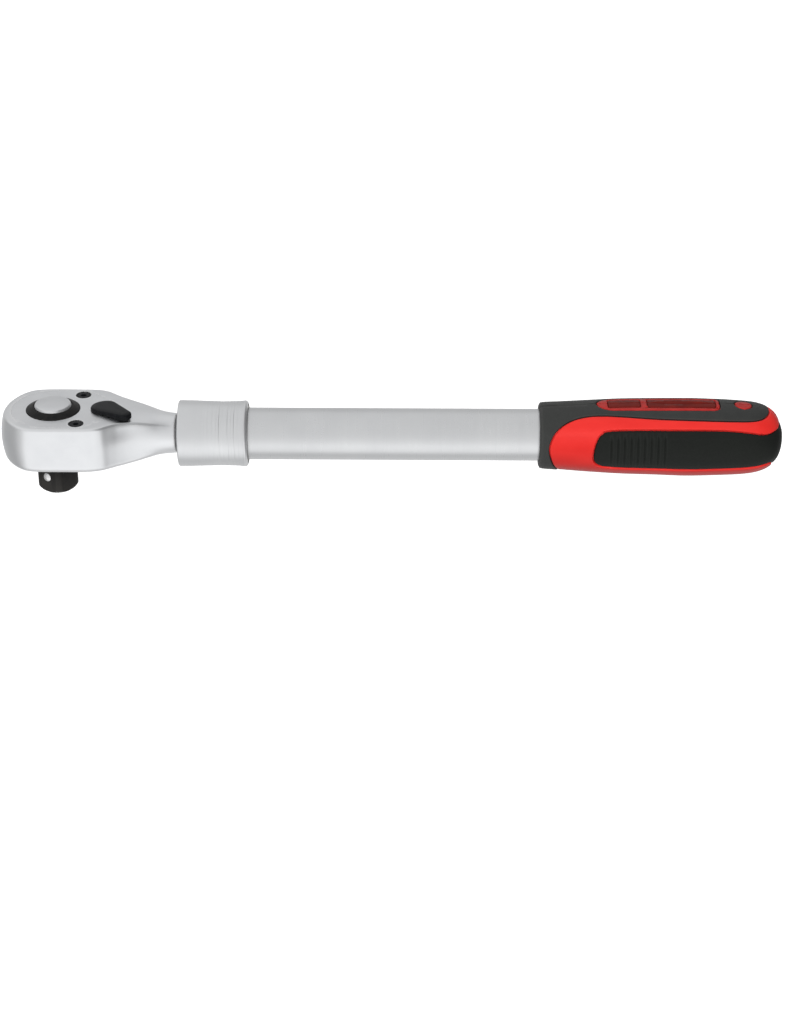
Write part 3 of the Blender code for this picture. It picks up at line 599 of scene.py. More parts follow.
class Graph:
    """A shader node tree, with short ways to add the nodes used here."""

    def __init__(self, tree):
        self.nodes = tree.nodes
        self.links = tree.links

    def node(self, kind, inputs=(), output=0, **settings):
        """Adds a node and returns one of its outputs. Inputs are numbers, colours or other outputs."""
        node = self.nodes.new("ShaderNode" + kind)
        for name, value in settings.items():
            setattr(node, name, value)
        for name, value in dict(inputs).items():
            socket = node.inputs[name]
            if isinstance(value, bpy.types.NodeSocket):
                self.links.new(value, socket)
            else:
                socket.default_value = (*value, 1) if socket.type == "RGBA" else value
        return node.outputs[output]

    def computed(self, operation, *values):
        return self.node("Math", enumerate(values), operation=operation)

    def mixed(self, factor, one, two, blend="MIX"):
        """Two colours, mixed by a value."""
        return self.node("Mix", {0: factor, 6: one, 7: two}, 2, data_type="RGBA", blend_type=blend)

    def ramp(self, value, stops):
        """Greys along a value, from stops of (place, tone)."""
        node = self.nodes.new("ShaderNodeValToRGB")
        node.color_ramp.interpolation = "EASE"
        while len(node.color_ramp.elements) < len(stops):
            node.color_ramp.elements.new(0.5)
        for element, (place, tone) in zip(node.color_ramp.elements, stops):
            element.position = place
            element.color = (tone, tone, tone, 1)
        self.links.new(value, node.inputs["Fac"])
        return node.outputs["Color"]


class Finish(Graph):
    """A material, built up in steps around one Principled shader."""

    def __init__(self, name, metallic, **constants):
        self.material = bpy.data.materials.new(name)
        self.material.use_nodes = True
        super().__init__(self.material.node_tree)
        self.shader = self.nodes["Principled BSDF"]
        self.shader.inputs["Metallic"].default_value = metallic
        for socket, value in constants.items():
            self.shader.inputs[socket.replace("_", " ")].default_value = value
        self.place = self.node("TexCoord", output="Object")

    def stretched(self, *scale):
        """Object coordinates stretched along the axes."""
        return self.node("Mapping", {"Vector": self.place, "Scale": scale})

    def noise(self, size, detail=2.0, where=None):
        """Noise whose features are about size millimetres across."""
        inputs = {"Vector": where or self.place, "Scale": 1 / (size * MM), "Detail": detail}
        return self.node("TexNoise", inputs, "Fac")

    def cells(self, size):
        return self.node("TexVoronoi", {"Vector": self.place, "Scale": 1 / (size * MM)}, "Distance")

    def wear(self):
        return self.node("Attribute", output="Fac", attribute_name="edge_wear")

    def ranged(self, value, low, high, start=0.3, end=0.7):
        """A value spread from one range to another."""
        inputs = {"Value": value, "From Min": start, "From Max": end, "To Min": low, "To Max": high}
        return self.node("MapRange", inputs)

    def tinted(self, value, one, two):
        """A colour that drifts between two with a noise."""
        return self.mixed(self.ranged(value, 0, 1), one, two)

    def rubbed(self, colour, worn_and_highlit, most=1.0, start=0.0):
        """A colour that turns into another where edges rub."""
        return self.mixed(self.ranged(self.wear(), 0, most, start, 1), colour, worn_and_highlit)

    def bumps(self, *layers):
        """Relief from layers of (height, depth in millimetres), one over the other."""
        below = {}
        for height, depth in layers:
            below = {"Normal": self.node("Bump", {"Height": height, "Distance": depth * MM, **below})}
        self.links.new(below["Normal"], self.shader.inputs["Normal"])

    def finish(self, colour, *spreads):
        """Sets the colour, and a roughness that adds up values, each spread over its own range."""
        rough = self.ranged(*spreads[0])
        for spread in spreads[1:]:
            rough = self.computed("ADD", rough, self.ranged(*spread))
        self.links.new(colour, self.shader.inputs["Base Color"])
        self.links.new(rough, self.shader.inputs["Roughness"])
        return self.material


def scaled(tone, *colour):
    return tuple(min(1, tone * c) for c in colour)


def satin_chrome(name, tone, roughness):
    """Chrome over a blasted surface: a fine even grain, faint clouding, and edges rubbed brighter."""
    made = Finish(name, 1.0)
    cloud = made.noise(9, 3)
    grain = made.noise(0.22, 3)
    colour = made.tinted(cloud, scaled(tone, 0.945, 0.96, 0.985), scaled(tone * 1.05, 0.965, 0.98, 1.0))
    colour = made.rubbed(colour, scaled(tone * 1.14, 0.98, 0.99, 1.0))
    made.bumps((grain, 0.006), (made.noise(1.1, 2), 0.008))
    rough = (grain, roughness - 0.03, roughness + 0.05)
    return made.finish(colour, rough, (cloud, -0.02, 0.02), (made.wear(), 0, -0.1, 0.2, 1))


def turned_chrome(name, tone, roughness):
    """Satin chrome over a turned surface, with hairlines that run round the handle."""
    made = Finish(name, 1.0)
    lines = made.noise(0.35, 2, made.stretched(1, 0.02, 0.02))
    cloud = made.noise(14, 2)
    grain = made.noise(0.25, 2)
    colour = made.tinted(cloud, scaled(tone, 0.95, 0.965, 0.985), scaled(tone * 1.05, 0.97, 0.985, 1.0))
    colour = made.rubbed(colour, scaled(tone * 1.12, 0.98, 0.99, 1.0))
    made.bumps((lines, 0.004), (grain, 0.004))
    return made.finish(colour, (lines, roughness - 0.05, roughness + 0.05), (grain, -0.02, 0.03))


def polished_steel():
    """Hardened steel, polished, with fine random scratches and a little haze."""
    made = Finish("polished_steel", 1.0)
    scratches = made.noise(0.12, 2, made.stretched(1, 0.06, 1))
    haze = made.noise(3, 3)
    colour = made.tinted(haze, (0.72, 0.72, 0.73), (0.82, 0.82, 0.82))
    made.bumps((scratches, 0.0015))
    return made.finish(colour, (scratches, 0.12, 0.24), (haze, -0.03, 0.05))


def black_oxide():
    """Blackened steel: a mottled bluish black that turns brown-grey where edges rub."""
    made = Finish("black_oxide", 0.15, Specular_IOR_Level=0.2)
    mottle = made.noise(1.6, 4)
    grain = made.noise(0.18, 2)
    colour = made.tinted(mottle, (0.005, 0.0055, 0.006), (0.013, 0.0125, 0.012))
    colour = made.rubbed(colour, (0.05, 0.047, 0.044), 0.6, 0.35)
    made.bumps((grain, 0.004), (mottle, 0.006))
    return made.finish(colour, (mottle, 0.38, 0.5), (grain, -0.03, 0.05))


def glossy_black():
    """The lever's black finish, smoother and deeper than the drive's."""
    made = Finish("lever_black", 0.0, Specular_IOR_Level=0.12)
    mottle = made.noise(2.4, 3)
    grain = made.noise(0.3, 2)
    colour = made.tinted(mottle, (0.004, 0.0045, 0.0055), (0.009, 0.0095, 0.011))
    colour = made.rubbed(colour, (0.02, 0.021, 0.023), 0.5, 0.4)
    made.bumps((grain, 0.003), (mottle, 0.012))
    return made.finish(colour, (mottle, 0.32, 0.42), (grain, -0.02, 0.04))


def spring_steel():
    """Drawn wire: grey steel with fine lines and a faint straw tint in places."""
    made = Finish("spring_steel", 1.0)
    lines = made.noise(0.15, 2, made.stretched(0.1, 1, 1))
    made.bumps((lines, 0.002))
    colour = made.tinted(made.noise(4, 2), (0.42, 0.42, 0.43), (0.52, 0.49, 0.44))
    return made.finish(colour, (lines, 0.24, 0.36))


def bearing_bronze():
    """Sintered bronze: warm, matt and finely pored."""
    made = Finish("bearing_bronze", 1.0)
    pores = made.cells(0.25)
    made.bumps((pores, 0.01))
    colour = made.tinted(made.noise(3, 3), (0.46, 0.28, 0.12), (0.6, 0.4, 0.18))
    return made.finish(colour, (pores, 0.48, 0.32, 0, 0.6))


def red_plastic():
    """Moulded red plastic: a fine spark-eroded texture, faint flow marks, and a soft gloss on its edges."""
    made = Finish("red_plastic", 0.0, Specular_IOR_Level=0.35)
    flow = made.noise(7, 2, made.stretched(0.4, 1, 1))
    texture = made.noise(0.3, 3)
    colour = made.tinted(flow, (0.74, 0.022, 0.018), (0.83, 0.032, 0.026))
    made.bumps((texture, 0.008), (flow, 0.03))
    return made.finish(colour, (texture, 0.36, 0.46), (made.wear(), 0, -0.12, 0.2, 1))


def panel_red():
    """The panel's frame and the badge: a deeper, glossier red with a fine grain."""
    made = Finish("panel_red", 0.0, Specular_IOR_Level=0.2)
    grain = made.noise(0.3, 2)
    made.bumps((grain, 0.006))
    colour = made.tinted(made.noise(4, 2), (0.36, 0.022, 0.02), (0.46, 0.034, 0.03))
    return made.finish(colour, (grain, 0.32, 0.44))


def black_rubber(name, deep, worn_and_highlit, gloss):
    """Soft overmould: matt charcoal with a pebbled skin, paler along its edges: partly edge wear, partly a
    painted highlight.
    """
    made = Finish(name, 0.0, Specular_IOR_Level=gloss)
    bloom = made.noise(8, 3)
    dust = made.noise(0.5, 3)
    colour = made.tinted(bloom, deep, tuple(1.5 * c for c in deep))
    # Paler edges: partly wear, partly a painted highlight on the edges and the pads' ribs.
    colour = made.rubbed(colour, worn_and_highlit, 0.5, 0.3)
    made.bumps((made.cells(0.42), 0.025), (dust, 0.01))
    return made.finish(colour, (dust, 0.55, 0.68), (bloom, -0.03, 0.03))


def label_field():
    """The panel's dark inlay: a smooth deep maroon with a fine woven relief."""
    made = Finish("label_field", 0.0, Specular_IOR_Level=0.1)
    weave = made.noise(0.5, 1, made.stretched(1, 0.35, 1))
    made.bumps((weave, 0.015))
    colour = made.tinted(made.noise(5, 2), (0.12, 0.01, 0.007), (0.17, 0.015, 0.01))
    return made.finish(colour, (weave, 0.34, 0.46))


# ---- head ----


def head_outline(half_width, top, bottom, upper, lower, scoop, barrel=0.0, face_edge=FACE_EDGE):
    """One side of a cross-section, from the top centre round to the bottom centre, as (y, level)."""
    start, face_start, wall_start, belly_start, belly_end, end = SECTION_STOPS
    spans = zip(SECTION_STOPS, SECTION_STOPS[1:], SECTION_POINTS)
    places = np.concatenate([np.linspace(a, b, n, endpoint=(b == end)) for a, b, n in spans])
    face = np.interp(places, (face_start, wall_start), (math.pi / 2, 0))
    belly = np.interp(places, (belly_start, belly_end), (0, -math.pi / 2))
    wide, shoulder = half_width - face_edge, top - face_edge
    narrow, hip = half_width - BELLY_EDGE, bottom + BELLY_EDGE
    on_face = np.column_stack([wide + face_edge * np.cos(face), shoulder + face_edge * np.sin(face)])
    on_belly = np.column_stack([narrow + BELLY_EDGE * np.cos(belly), hip + BELLY_EDGE * np.sin(belly)])
    boxy = np.where((places <= wall_start)[:, None], on_face, on_belly)
    boxy[:, 0] *= np.interp(places, (start, face_start, belly_end, end), (0, 1, 1, 0))
    wall = (places > wall_start) & (places < belly_start)
    boxy[wall, 1] = np.interp(places[wall], (wall_start, belly_start), (shoulder, hip))

    level = boxy[:, 1]
    share = np.interp(level, SCOOP_LEVELS, (0, 1))
    inset = barrel * ((level - BARREL_LEVEL) / 10) ** 2 + scoop * share**2 * (3 - 2 * share)
    boxy[:, 0] *= 1 - inset / half_width

    middle, height = (top + bottom) / 2, (top - bottom) / 2
    angles = np.arctan2((level - middle) / height, boxy[:, 0] / half_width)
    oval = np.column_stack([half_width * np.cos(angles), middle + height * np.sin(angles)])
    roundness = np.interp(places, (wall_start - 1, belly_start + 1), (upper, lower))[:, None]
    return (1 - roundness) * boxy + roundness * oval


def nose_radius(angle):
    """Plan radius of the nose: a circle whose flanks are held to the head's width."""
    flank = HEAD_HALF_WIDTH / max(abs(math.sin(angle)), 1e-6)
    return (NOSE_RADIUS**-24 + flank**-24) ** (-1 / 24)


def head_form():
    """The outside of the head: a fan of sections round the drive axis, then sections along the neck."""
    bm = bmesh.new()
    top = bm.verts.new((0, 0, FACE_LEVEL))
    bottom = bm.verts.new((0, 0, BELLY_LEVEL))
    fan = []
    for angle in np.linspace(math.pi / 2, 3 * math.pi / 2, 49):
        radius = HEAD_STATIONS[0][1] if abs(math.cos(angle)) < 1e-6 else nose_radius(angle)
        share = math.cos(angle) ** 2
        edge = FACE_EDGE + (NOSE_EDGE - FACE_EDGE) * share
        side = head_outline(radius, FACE_LEVEL, BELLY_LEVEL, 0, 0, 0, BARREL_DEPTH * share, edge)[1:-1]
        c, s = math.cos(angle), math.sin(angle)
        fan.append([bm.verts.new((r * c, r * s, z)) for r, z in side])
    for one, two in zip(fan, fan[1:]):
        bm.faces.new((top, one[0], two[0]))
        bm.faces.new((bottom, two[-1], one[-1]))
        for i in range(len(one) - 1):
            bm.faces.new((one[i], one[i + 1], two[i + 1], two[i]))
    rings = [[top, *fan[0], bottom, *fan[-1][::-1]]]
    places = np.linspace(0, HEAD_STATIONS[-1][0], 72)[1:]
    for x, shape in zip(places, flowing(HEAD_STATIONS, places)):
        side = head_outline(*shape)
        ring = [bm.verts.new((x, y, z)) for y, z in side]
        rings.append(ring + [bm.verts.new((x, -y, z)) for y, z in side[-2:0:-1]])
    skin(bm, rings)
    bm.faces.new(rings[-1])
    return placed(bm)


def make_head(chrome):
    """The housing, cut for the cover, the gear, the pawl, the stem and its pin, the rod and the screws."""
    above_floor, above_seat = CAVITY_FLOOR + 0.5, COVER_SEAT + 0.5
    cuts = [
        prism(hull(COVER_LOBES, COVER_GAP), COVER_SEAT, FACE_LEVEL + 2),
        rod(CAVITY_RADIUS, CAVITY_FLOOR, above_seat),
        rod(DRIVE_BORE_RADIUS, BELLY_LEVEL - 1, above_floor, steps=96),
        prism(PAWL_POCKET, CAVITY_FLOOR + 0.1, COVER_SEAT + 0.6),
        rod(STEM_POCKET_RADIUS, CAVITY_FLOOR + 0.05, COVER_SEAT + 0.7, at(STEM_X), 32),
        rod(*STEM_TAIL_BORE, above_floor, at(STEM_X), 24),
        rod(*PAWL_PIN_BORE, above_floor, at(PAWL_PIVOT_X), 24),
        rod(*ROD_SOCKET, 50, LENGTHWISE, 48),
    ]
    cuts += [rod(*SCREW_THREAD, above_seat, at(*place), 24) for place in SCREWS]
    head = combine(new_object("ratchet_head", head_form()), cuts)
    install(head, chrome, "satin_chrome", "head", "head_body")


def circle(x, y, radius, spacing=0.35):
    """A closed round curve, counterclockwise, its first point repeated at the end."""
    return np.array(arc(x, y, radius, 0, math.tau, max(16, round(math.tau * radius / spacing))))


def make_cover(chrome):
    """The plate over the mechanism, with a bore for the hub, a hole for the stem and two screw recesses."""
    rim = np.array(hull(COVER_LOBES))
    rim = resampled(np.vstack([rim, rim[:1]]), 0.5)
    holes = [circle(0, 0, HUB_RADIUS + HUB_GAP), circle(STEM_X, 0, STEM_RADIUS + STEM_GAP)]
    x, y = np.meshgrid(np.arange(-16.5, 28, COVER_GRID), np.arange(-16.5, 17, COVER_GRID))
    grid = [np.column_stack([x.ravel(), y.ravel()])]
    grid += [circle(*place, radius, 0.3)[:-1] for place in SCREWS for radius in RECESS_RINGS]
    edges = [rim, *(hole[::-1] for hole in holes)]
    holes = [hole[:-1] for hole in holes]
    verts, faces, depth = net(rim[:-1], holes, edges, np.vstack(grid), COVER_EDGE)
    level = COVER_TOP - rounding(depth, COVER_EDGE)
    for x, y in SCREWS:
        away = np.hypot(verts[:, 0] - x, verts[:, 1] - y)
        level -= rounding(away - RECESS_RADIUS, RECESS_EDGE) * (away >= RECESS_RADIUS)
        level = np.where(away < RECESS_RADIUS - 0.01, RECESS_LEVEL, level)
    top = np.column_stack([verts, level])
    bottom = np.column_stack([verts, np.full(len(verts), COVER_SEAT + 0.1)])
    plate = new_object("cover", shell(verts, faces, top, bottom, lambda a, b: False, False))
    combine(plate, [rod(SCREW_PASSAGE_RADIUS, 7, 9.5, at(*place), 24) for place in SCREWS])
    install(plate, chrome, "satin_chrome", "head", "cover_plate")


def make_cover_screws(black):
    profile = [(0, 1.2), (1.2, 1.2), (1.2, 8.95), (2.9, 8.95), (2.9, 9.9), (2.7, 10.15), (0, 10.15)]
    for number, place in enumerate(SCREWS, 1):
        screw = new_object(f"cover_screw_{number}_fine", turned(soften(profile, 0.12), at(*place), 48))
        hexagon = arc(*place, 1.25, 0, math.tau, 6)[:-1]
        combine(screw, [prism(hexagon, 9.15, FACE_LEVEL + 2)])
        install(screw, black, "black_oxide_steel", "head", f"cover_screw_{number}")


# ---- drive ----


def gear_outline():
    """The ratchet teeth, with a root at angle 0."""
    pitch = math.tau / TEETH
    radii = {0: ROOT_RADIUS, 0.4: TIP_RADIUS, 0.6: TIP_RADIUS}
    return [
        (r * math.cos((k + f) * pitch), r * math.sin((k + f) * pitch))
        for k in range(TEETH)
        for f, r in radii.items()
    ]


def square_outline():
    half = SQUARE / 2 - SQUARE_CORNER
    corners = [(half, half), (-half, half), (-half, -half), (half, -half)]
    outline = [
        p
        for k, (x, y) in enumerate(corners)
        for p in arc(x, y, SQUARE_CORNER, k * math.pi / 2, (k + 1) * math.pi / 2, 10)
    ]
    return spin(outline, 0, 0, SQUARE_TURN)


def make_drive(black):
    end = -AXIS_Z
    gear = new_object("drive", prism(gear_outline(), *GEAR_LEVELS))
    hub = [(0, -10), (6, -10), (6, -8.7), (9.0, -8.7), (9.0, -4)]
    hub += [(HUB_RADIUS, -4), (HUB_RADIUS, HUB_EDGE), HUB_TOP, (0, HUB_TOP[1])]
    square = new_object("square", prism(square_outline(), end, -8))
    envelope = [(0, end), (6.4, end), (6.8, end + 0.2), (9.5, end + 2.9), (9.5, 0), (0, 0)]
    combine(square, [turned(envelope)], "INTERSECT")
    joined = bmesh.new()
    joined.from_mesh(square.data)
    bpy.data.objects.remove(square)
    combine(gear, [turned(soften(hub, 0.3), steps=128), joined], "UNION")
    ball_line = pointing((0, 0, AXIS_Z + BALL_LEVEL), BALL_OUTWARDS)
    cuts = [
        rod(BUTTON_BORE_RADIUS, 3.0, 13, steps=96),
        rod(PLUNGER_BORE_RADIUS, -21.9, 4, steps=32),
        rod(BALL_BORE_RADIUS, 1, 6.05, ball_line, 32),
        rod(BALL_MOUTH_RADIUS, 5, 8, ball_line, 32),
    ]
    install(combine(gear, cuts), black, "black_oxide_steel", "drive", "drive_gear")


def make_button(steel):
    """The round quick-release button, a low dome with a rolled edge."""
    profile = [(0, 10.9), (1.75, 10.9), (1.75, 9.1), (7.0, 9.1), (7.25, 9.35), (7.25, 11.9)]
    dome = [(DOME_RADIUS * math.cos(a), DOME_LEVEL + math.sin(a)) for a in np.linspace(0.15, 1.35, 9)]
    profile += [(DOME_RADIUS, DOME_LEVEL), *dome, (0, DOME_LEVEL + 1)]
    button = new_object("button", turned(soften(profile, 0.25, 3)))
    install(button, steel, "polished_steel", "release_button", "release_button")


def make_drive_ball(steel):
    centre = Vector((0, 0, AXIS_Z + BALL_LEVEL)) + BALL_OUTWARDS * BALL_CENTRE
    ball = new_object("detent_ball", sphere(BALL_RADIUS, centre))
    install(ball, steel, "polished_steel", "drive_ball", "drive_ball")


# ---- selector lever ----


def lever_ring(bm, inset, level):
    """An outline round the boss and the tip, drawn in by inset, at a level for each reach."""
    lean = math.acos((LEVER_BOSS_RADIUS - LEVER_TIP_RADIUS) / LEVER_REACH)
    flat = arc(0, 0, LEVER_BOSS_RADIUS - inset, lean, math.tau - lean, 40)
    flat += arc(LEVER_REACH, 0, LEVER_TIP_RADIUS - inset, -lean, lean, 28)
    swung = spin(flat, 0, 0, -LEVER_ANGLE)
    return [bm.verts.new((STEM_X + x, y, level(reach))) for (x, y), (reach, _) in zip(swung, flat)]


def lever_rings(bm):
    """The paddle's rings, from its flat underside over its two rounded edges to its crown."""
    lower, upper = LEVER_EDGES
    bottom = FACE_LEVEL + LEVER_GAP

    def crown(reach):
        return float(np.interp(reach, *zip(*LEVER_CROWN)))

    rings = []
    for a in np.linspace(-math.pi / 2, 0, 6):
        height = bottom + lower * (1 + math.sin(a))
        rings.append(lever_ring(bm, lower * (1 - math.cos(a)), lambda reach: height))
    for a in np.linspace(0, math.pi / 2, 8):
        drop = upper * (1 - math.sin(a))
        rings.append(lever_ring(bm, upper * (1 - math.cos(a)), lambda reach: crown(reach) - drop))
    for inset in (1.6, 2.4):
        rings.append(lever_ring(bm, inset, lambda reach: crown(reach) + 0.08))
    return rings


def make_lever(black):
    """A stem and boss with a paddle that rises towards its thumb end. All its edges are rounded."""
    stem = [(0, -7.1), (1.55, -7.1), (1.55, -5.0), (STEM_RADIUS, -5.0), (STEM_RADIUS, 6.8), (1.75, 6.8)]
    stem += [(1.75, 7.7), (STEM_RADIUS, 7.7), (STEM_RADIUS, 11.0), (0, 11.0)]
    lever = new_object("lever", turned(soften(stem, 0.35), at(STEM_X), 64))
    bm = bmesh.new()
    rings = lever_rings(bm)
    skin(bm, rings)
    bm.faces.new(rings[0])
    bm.faces.new(rings[-1])
    combine(lever, [placed(bm)], "UNION")
    inwards = (-math.cos(LEVER_ANGLE), math.sin(LEVER_ANGLE), 0)
    bore_line = pointing((STEM_X, 0, AXIS_Z), inwards)
    combine(lever, [rod(SELECTOR_BORE_RADIUS, -1.5, 4, bore_line, 24)])
    install(lever, black, "black_oxide_steel", "selector", "selector_lever")


# ---- rod, tube and collar ----


def round_handle(angle, radius):
    return radius * math.cos(angle), AXIS_Z + radius * math.sin(angle)


def make_rod(chrome):
    """The sliding rod, with three tracks and a row of lock pits along each."""
    profile = [
        (0, 36.8), (4.7, 36.8), (5.0, 37.1), (5.0, 48.7), (ROD_RADIUS - 0.4, 48.7), (ROD_RADIUS, 49.1),
        (ROD_RADIUS, ROD_END), (4.0, ROD_END), (4.0, 221.6), (0, 221.6),
    ]
    main = new_object("sliding_rod", turned(profile, LENGTHWISE))
    ends = (LOCK_X - 3, LOCK_X + TRAVEL + 3)
    for angle in LOCK_ANGLES:
        y, z = round_handle(angle, LOCK_BALL_CENTRE)
        combine(main, [rod(TRACK_RADIUS, *ends, pointing((0, y, z), (1, 0, 0)), 32)])
        outwards = (0, math.cos(angle), math.sin(angle))
        for k in range(int(TRAVEL / PIT_PITCH) + 1):
            place = pointing((LOCK_X + k * PIT_PITCH, 0, AXIS_Z), outwards)
            combine(main, [turned(PIT, place, 20)])
    combine(main, [rod(END_SCREW_BORE_RADIUS, 210, 223, LENGTHWISE, 32)])
    install(main, chrome, "satin_chrome", "head", "telescopic_rod")


def make_tube(chrome):
    start, end = TUBE_LOW.x, TUBE_HIGH.x
    groove = TUBE_RADIUS - RING_GROOVE_DEPTH
    outer = [(TUBE_RADIUS, start)]
    for low, high in RING_GROOVES:
        outer += [(TUBE_RADIUS, low), (groove, low), (groove, high), (TUBE_RADIUS, high)]
    profile = [(TUBE_BORE, start), *outer, (TUBE_RADIUS, end), (TUBE_BORE, end)]
    tube = new_object("tube", turned(soften(profile, 0.3, 3), LENGTHWISE, 128))
    for angle in LOCK_ANGLES:
        line = pointing((LOCK_X, 0, AXIS_Z), (0, math.cos(angle), math.sin(angle)))
        combine(tube, [rod(LOCK_HOLE_RADIUS, 5, 13, line, 32)])
    install(tube, chrome, "satin_chrome", "handle", "handle_tube")


def collar_radius(x):
    """The collar's skin: a shallow waist with uneven hairline grooves, which are deeper behind it."""
    ends = (COLLAR_START, 54, 60, 66.3, 72, COLLAR_END)
    radii = (COLLAR_RADIUS, COLLAR_RADIUS - 0.05, 12.76, COLLAR_WAIST, 12.76, COLLAR_RADIUS)
    base = np.interp(x, ends, radii)
    grooves = (x - COLLAR_START) / GROOVE_PITCH
    grooves += 0.2 * np.sin(grooves * 1.7)
    wave = (0.5 - 0.5 * np.cos(math.tau * grooves)) ** 3
    uneven = 0.75 + 0.25 * np.sin(grooves * 2.9)
    depth = np.interp(x, (51, 54, 60, 64, 73, 74), (0, 0.02, 0.04, 0.09, 0.12, 0))
    return base - depth * wave * uneven


def make_collar(chrome):
    start, end = COLLAR_START, COLLAR_END
    bore = [
        (11.5, start), (11.5, 52.4), (10.4, 52.4), (10.4, 54.6), (10.95, 55.2), (10.95, 56), (10.45, 62),
        (10.45, 64.5), (11.6, 64.5), (11.6, end),
    ]
    front, rear = COLLAR_EDGES
    middle = np.arange(end - rear - 0.1, start + front, -0.1)
    skin_line = arc(COLLAR_RADIUS - rear, end - rear, rear, math.pi / 2, 0, 7)
    skin_line += [(float(collar_radius(x)), float(x)) for x in middle]
    skin_line += arc(COLLAR_RADIUS - front, start + front, front, 0, -math.pi / 2, 7)
    collar = new_object("collar", turned(bore + skin_line, LENGTHWISE, 128))
    install(collar, chrome, "satin_chrome", "lock_collar", "lock_collar")


# ---- grip ----


def grip_table():
    """Rows of (distance along the grip's line, x, top radius, radius underneath), closely spaced."""
    line = np.array(GRIP_LINE, float)
    mean = np.column_stack([line[:, 0], line[:, 1:].mean(axis=1)])
    along = np.append(0, np.cumsum(np.linalg.norm(np.diff(mean, axis=0), axis=1)))
    places = np.linspace(0, along[-1], 800)
    fine = flowing(np.column_stack([along, line]), places)
    fine[:, 1:] = np.maximum(fine[:, 1:], 0)
    fine[-1, 1:] = 0
    return np.column_stack([places, fine])


GRIP_TABLE = grip_table()
GRIP_LENGTH = GRIP_TABLE[-1, 0]
GRIP_SIDE = math.pi / 2 * GRIP_MEAN  # the unrolled half reaches this far up and down


def grip_surface(flat, drop):
    """Places on the grip, from points on the unrolled half, each lowered into it by its drop."""
    u, rise = flat[:, 0], flat[:, 1] / GRIP_MEAN
    steps, table = GRIP_TABLE[:, 0], GRIP_TABLE[:, 1:]
    x, top, under = (np.interp(u, steps, table[:, k]) for k in range(3))
    slopes = np.gradient(np.column_stack([table[:, 0], table[:, 1:].mean(axis=1)]), steps, axis=0)
    ahead = np.column_stack([np.interp(u, steps, slopes[:, k]) for k in (0, 1)])
    ahead /= np.linalg.norm(ahead, axis=1)[:, None]
    radius = (top + under) / 2 + (top - under) / 2 * np.sin(rise) - drop * ahead[:, 0]
    radius = np.where(u > GRIP_LENGTH - 1e-6, 0, np.maximum(radius, 0))
    return np.column_stack([x + drop * ahead[:, 1], -radius * np.cos(rise), radius * np.sin(rise)])


def unrolled(points):
    """(x, elevation) turned into a place on the unrolled half."""
    points = np.array(points, float)
    steps = GRIP_TABLE[:, 0]
    reach = np.maximum.accumulate(GRIP_TABLE[:, 1])
    body = GRIP_TABLE[:, 0] > 2
    u = np.interp(points[:, 0], reach[body], steps[body])
    return np.column_stack([u, np.radians(points[:, 1]) * GRIP_MEAN])


def rib_span():
    """Where the first and last groove lie along the unrolled half."""
    return unrolled([(x, 0) for x in RIBS])[:, 0]


def grip_grid():
    """Points over the unrolled half, closer together where the ribs are."""
    first, last = rib_span()
    spans = [
        (0.4, first - 1, GRIP_GRID), (first - 1, last + 1, RIB_PITCH / 8), (last + 1, GRIP_LENGTH, GRIP_GRID),
    ]
    u = np.concatenate([np.arange(*span) for span in spans])
    u[-1] = GRIP_LENGTH
    u, v = np.meshgrid(u, np.linspace(-GRIP_SIDE, GRIP_SIDE, 37))
    return np.column_stack([u.ravel(), v.ravel()])


def on_seam(a, b):
    """Edges that meet the far half, or the grip's rear end, have no wall."""
    level = abs(abs(a[1]) - GRIP_SIDE) < 1e-4 and abs(a[1] - b[1]) < 1e-4
    return level or (a[0] > GRIP_LENGTH - 1e-4 and b[0] > GRIP_LENGTH - 1e-4)


def pad_relief(flat, depth):
    """The pad's crown, and grooves across it that fade towards its edges."""
    first, last = rib_span()
    share = (flat[:, 0] - first) / RIB_PITCH
    wave = (0.5 + 0.5 * np.cos(math.tau * share)) ** 3
    within = (flat[:, 0] > first - RIB_PITCH / 2) & (flat[:, 0] < last + RIB_PITCH / 2)
    side = np.clip((depth - 1.6) / 1.6, 0, 1)
    fall = np.clip(1 - depth / CROWN_REACH, 0, 1)
    return RIB_DEPTH * wave * within * side + CROWN * fall**2


def grip_shell(name, outline, edges, material, slot, nodes, sunk=0.0, relief=None, depth_below=SHELL_DEPTH):
    """One shell of the grip. The outline is closed, and the edges are those parts of it that are rounded."""
    verts, faces, depth = net(outline, [], edges, grip_grid(), SEAM_EDGE)
    drop = sunk + rounding(depth, SEAM_EDGE)
    if relief is not None:
        drop = drop + relief(verts, depth)
    top = grip_surface(verts, drop)
    bottom = grip_surface(verts, np.full(len(verts), depth_below))
    obj = new_object(name, shell(verts, faces, top, bottom, on_seam, True))
    return install(obj, material, slot, "handle", *nodes)


def field_edge(start, end, low):
    """Half of a rounded rectangle that lies across the grip's top."""
    corner = [(0, 90), (0, low + 4.5), (0.35, low + 1.2), (1.2, low)]  # inset, elevation
    return [(start + x, rise) for x, rise in corner] + [(end - x, rise) for x, rise in corner[::-1]]


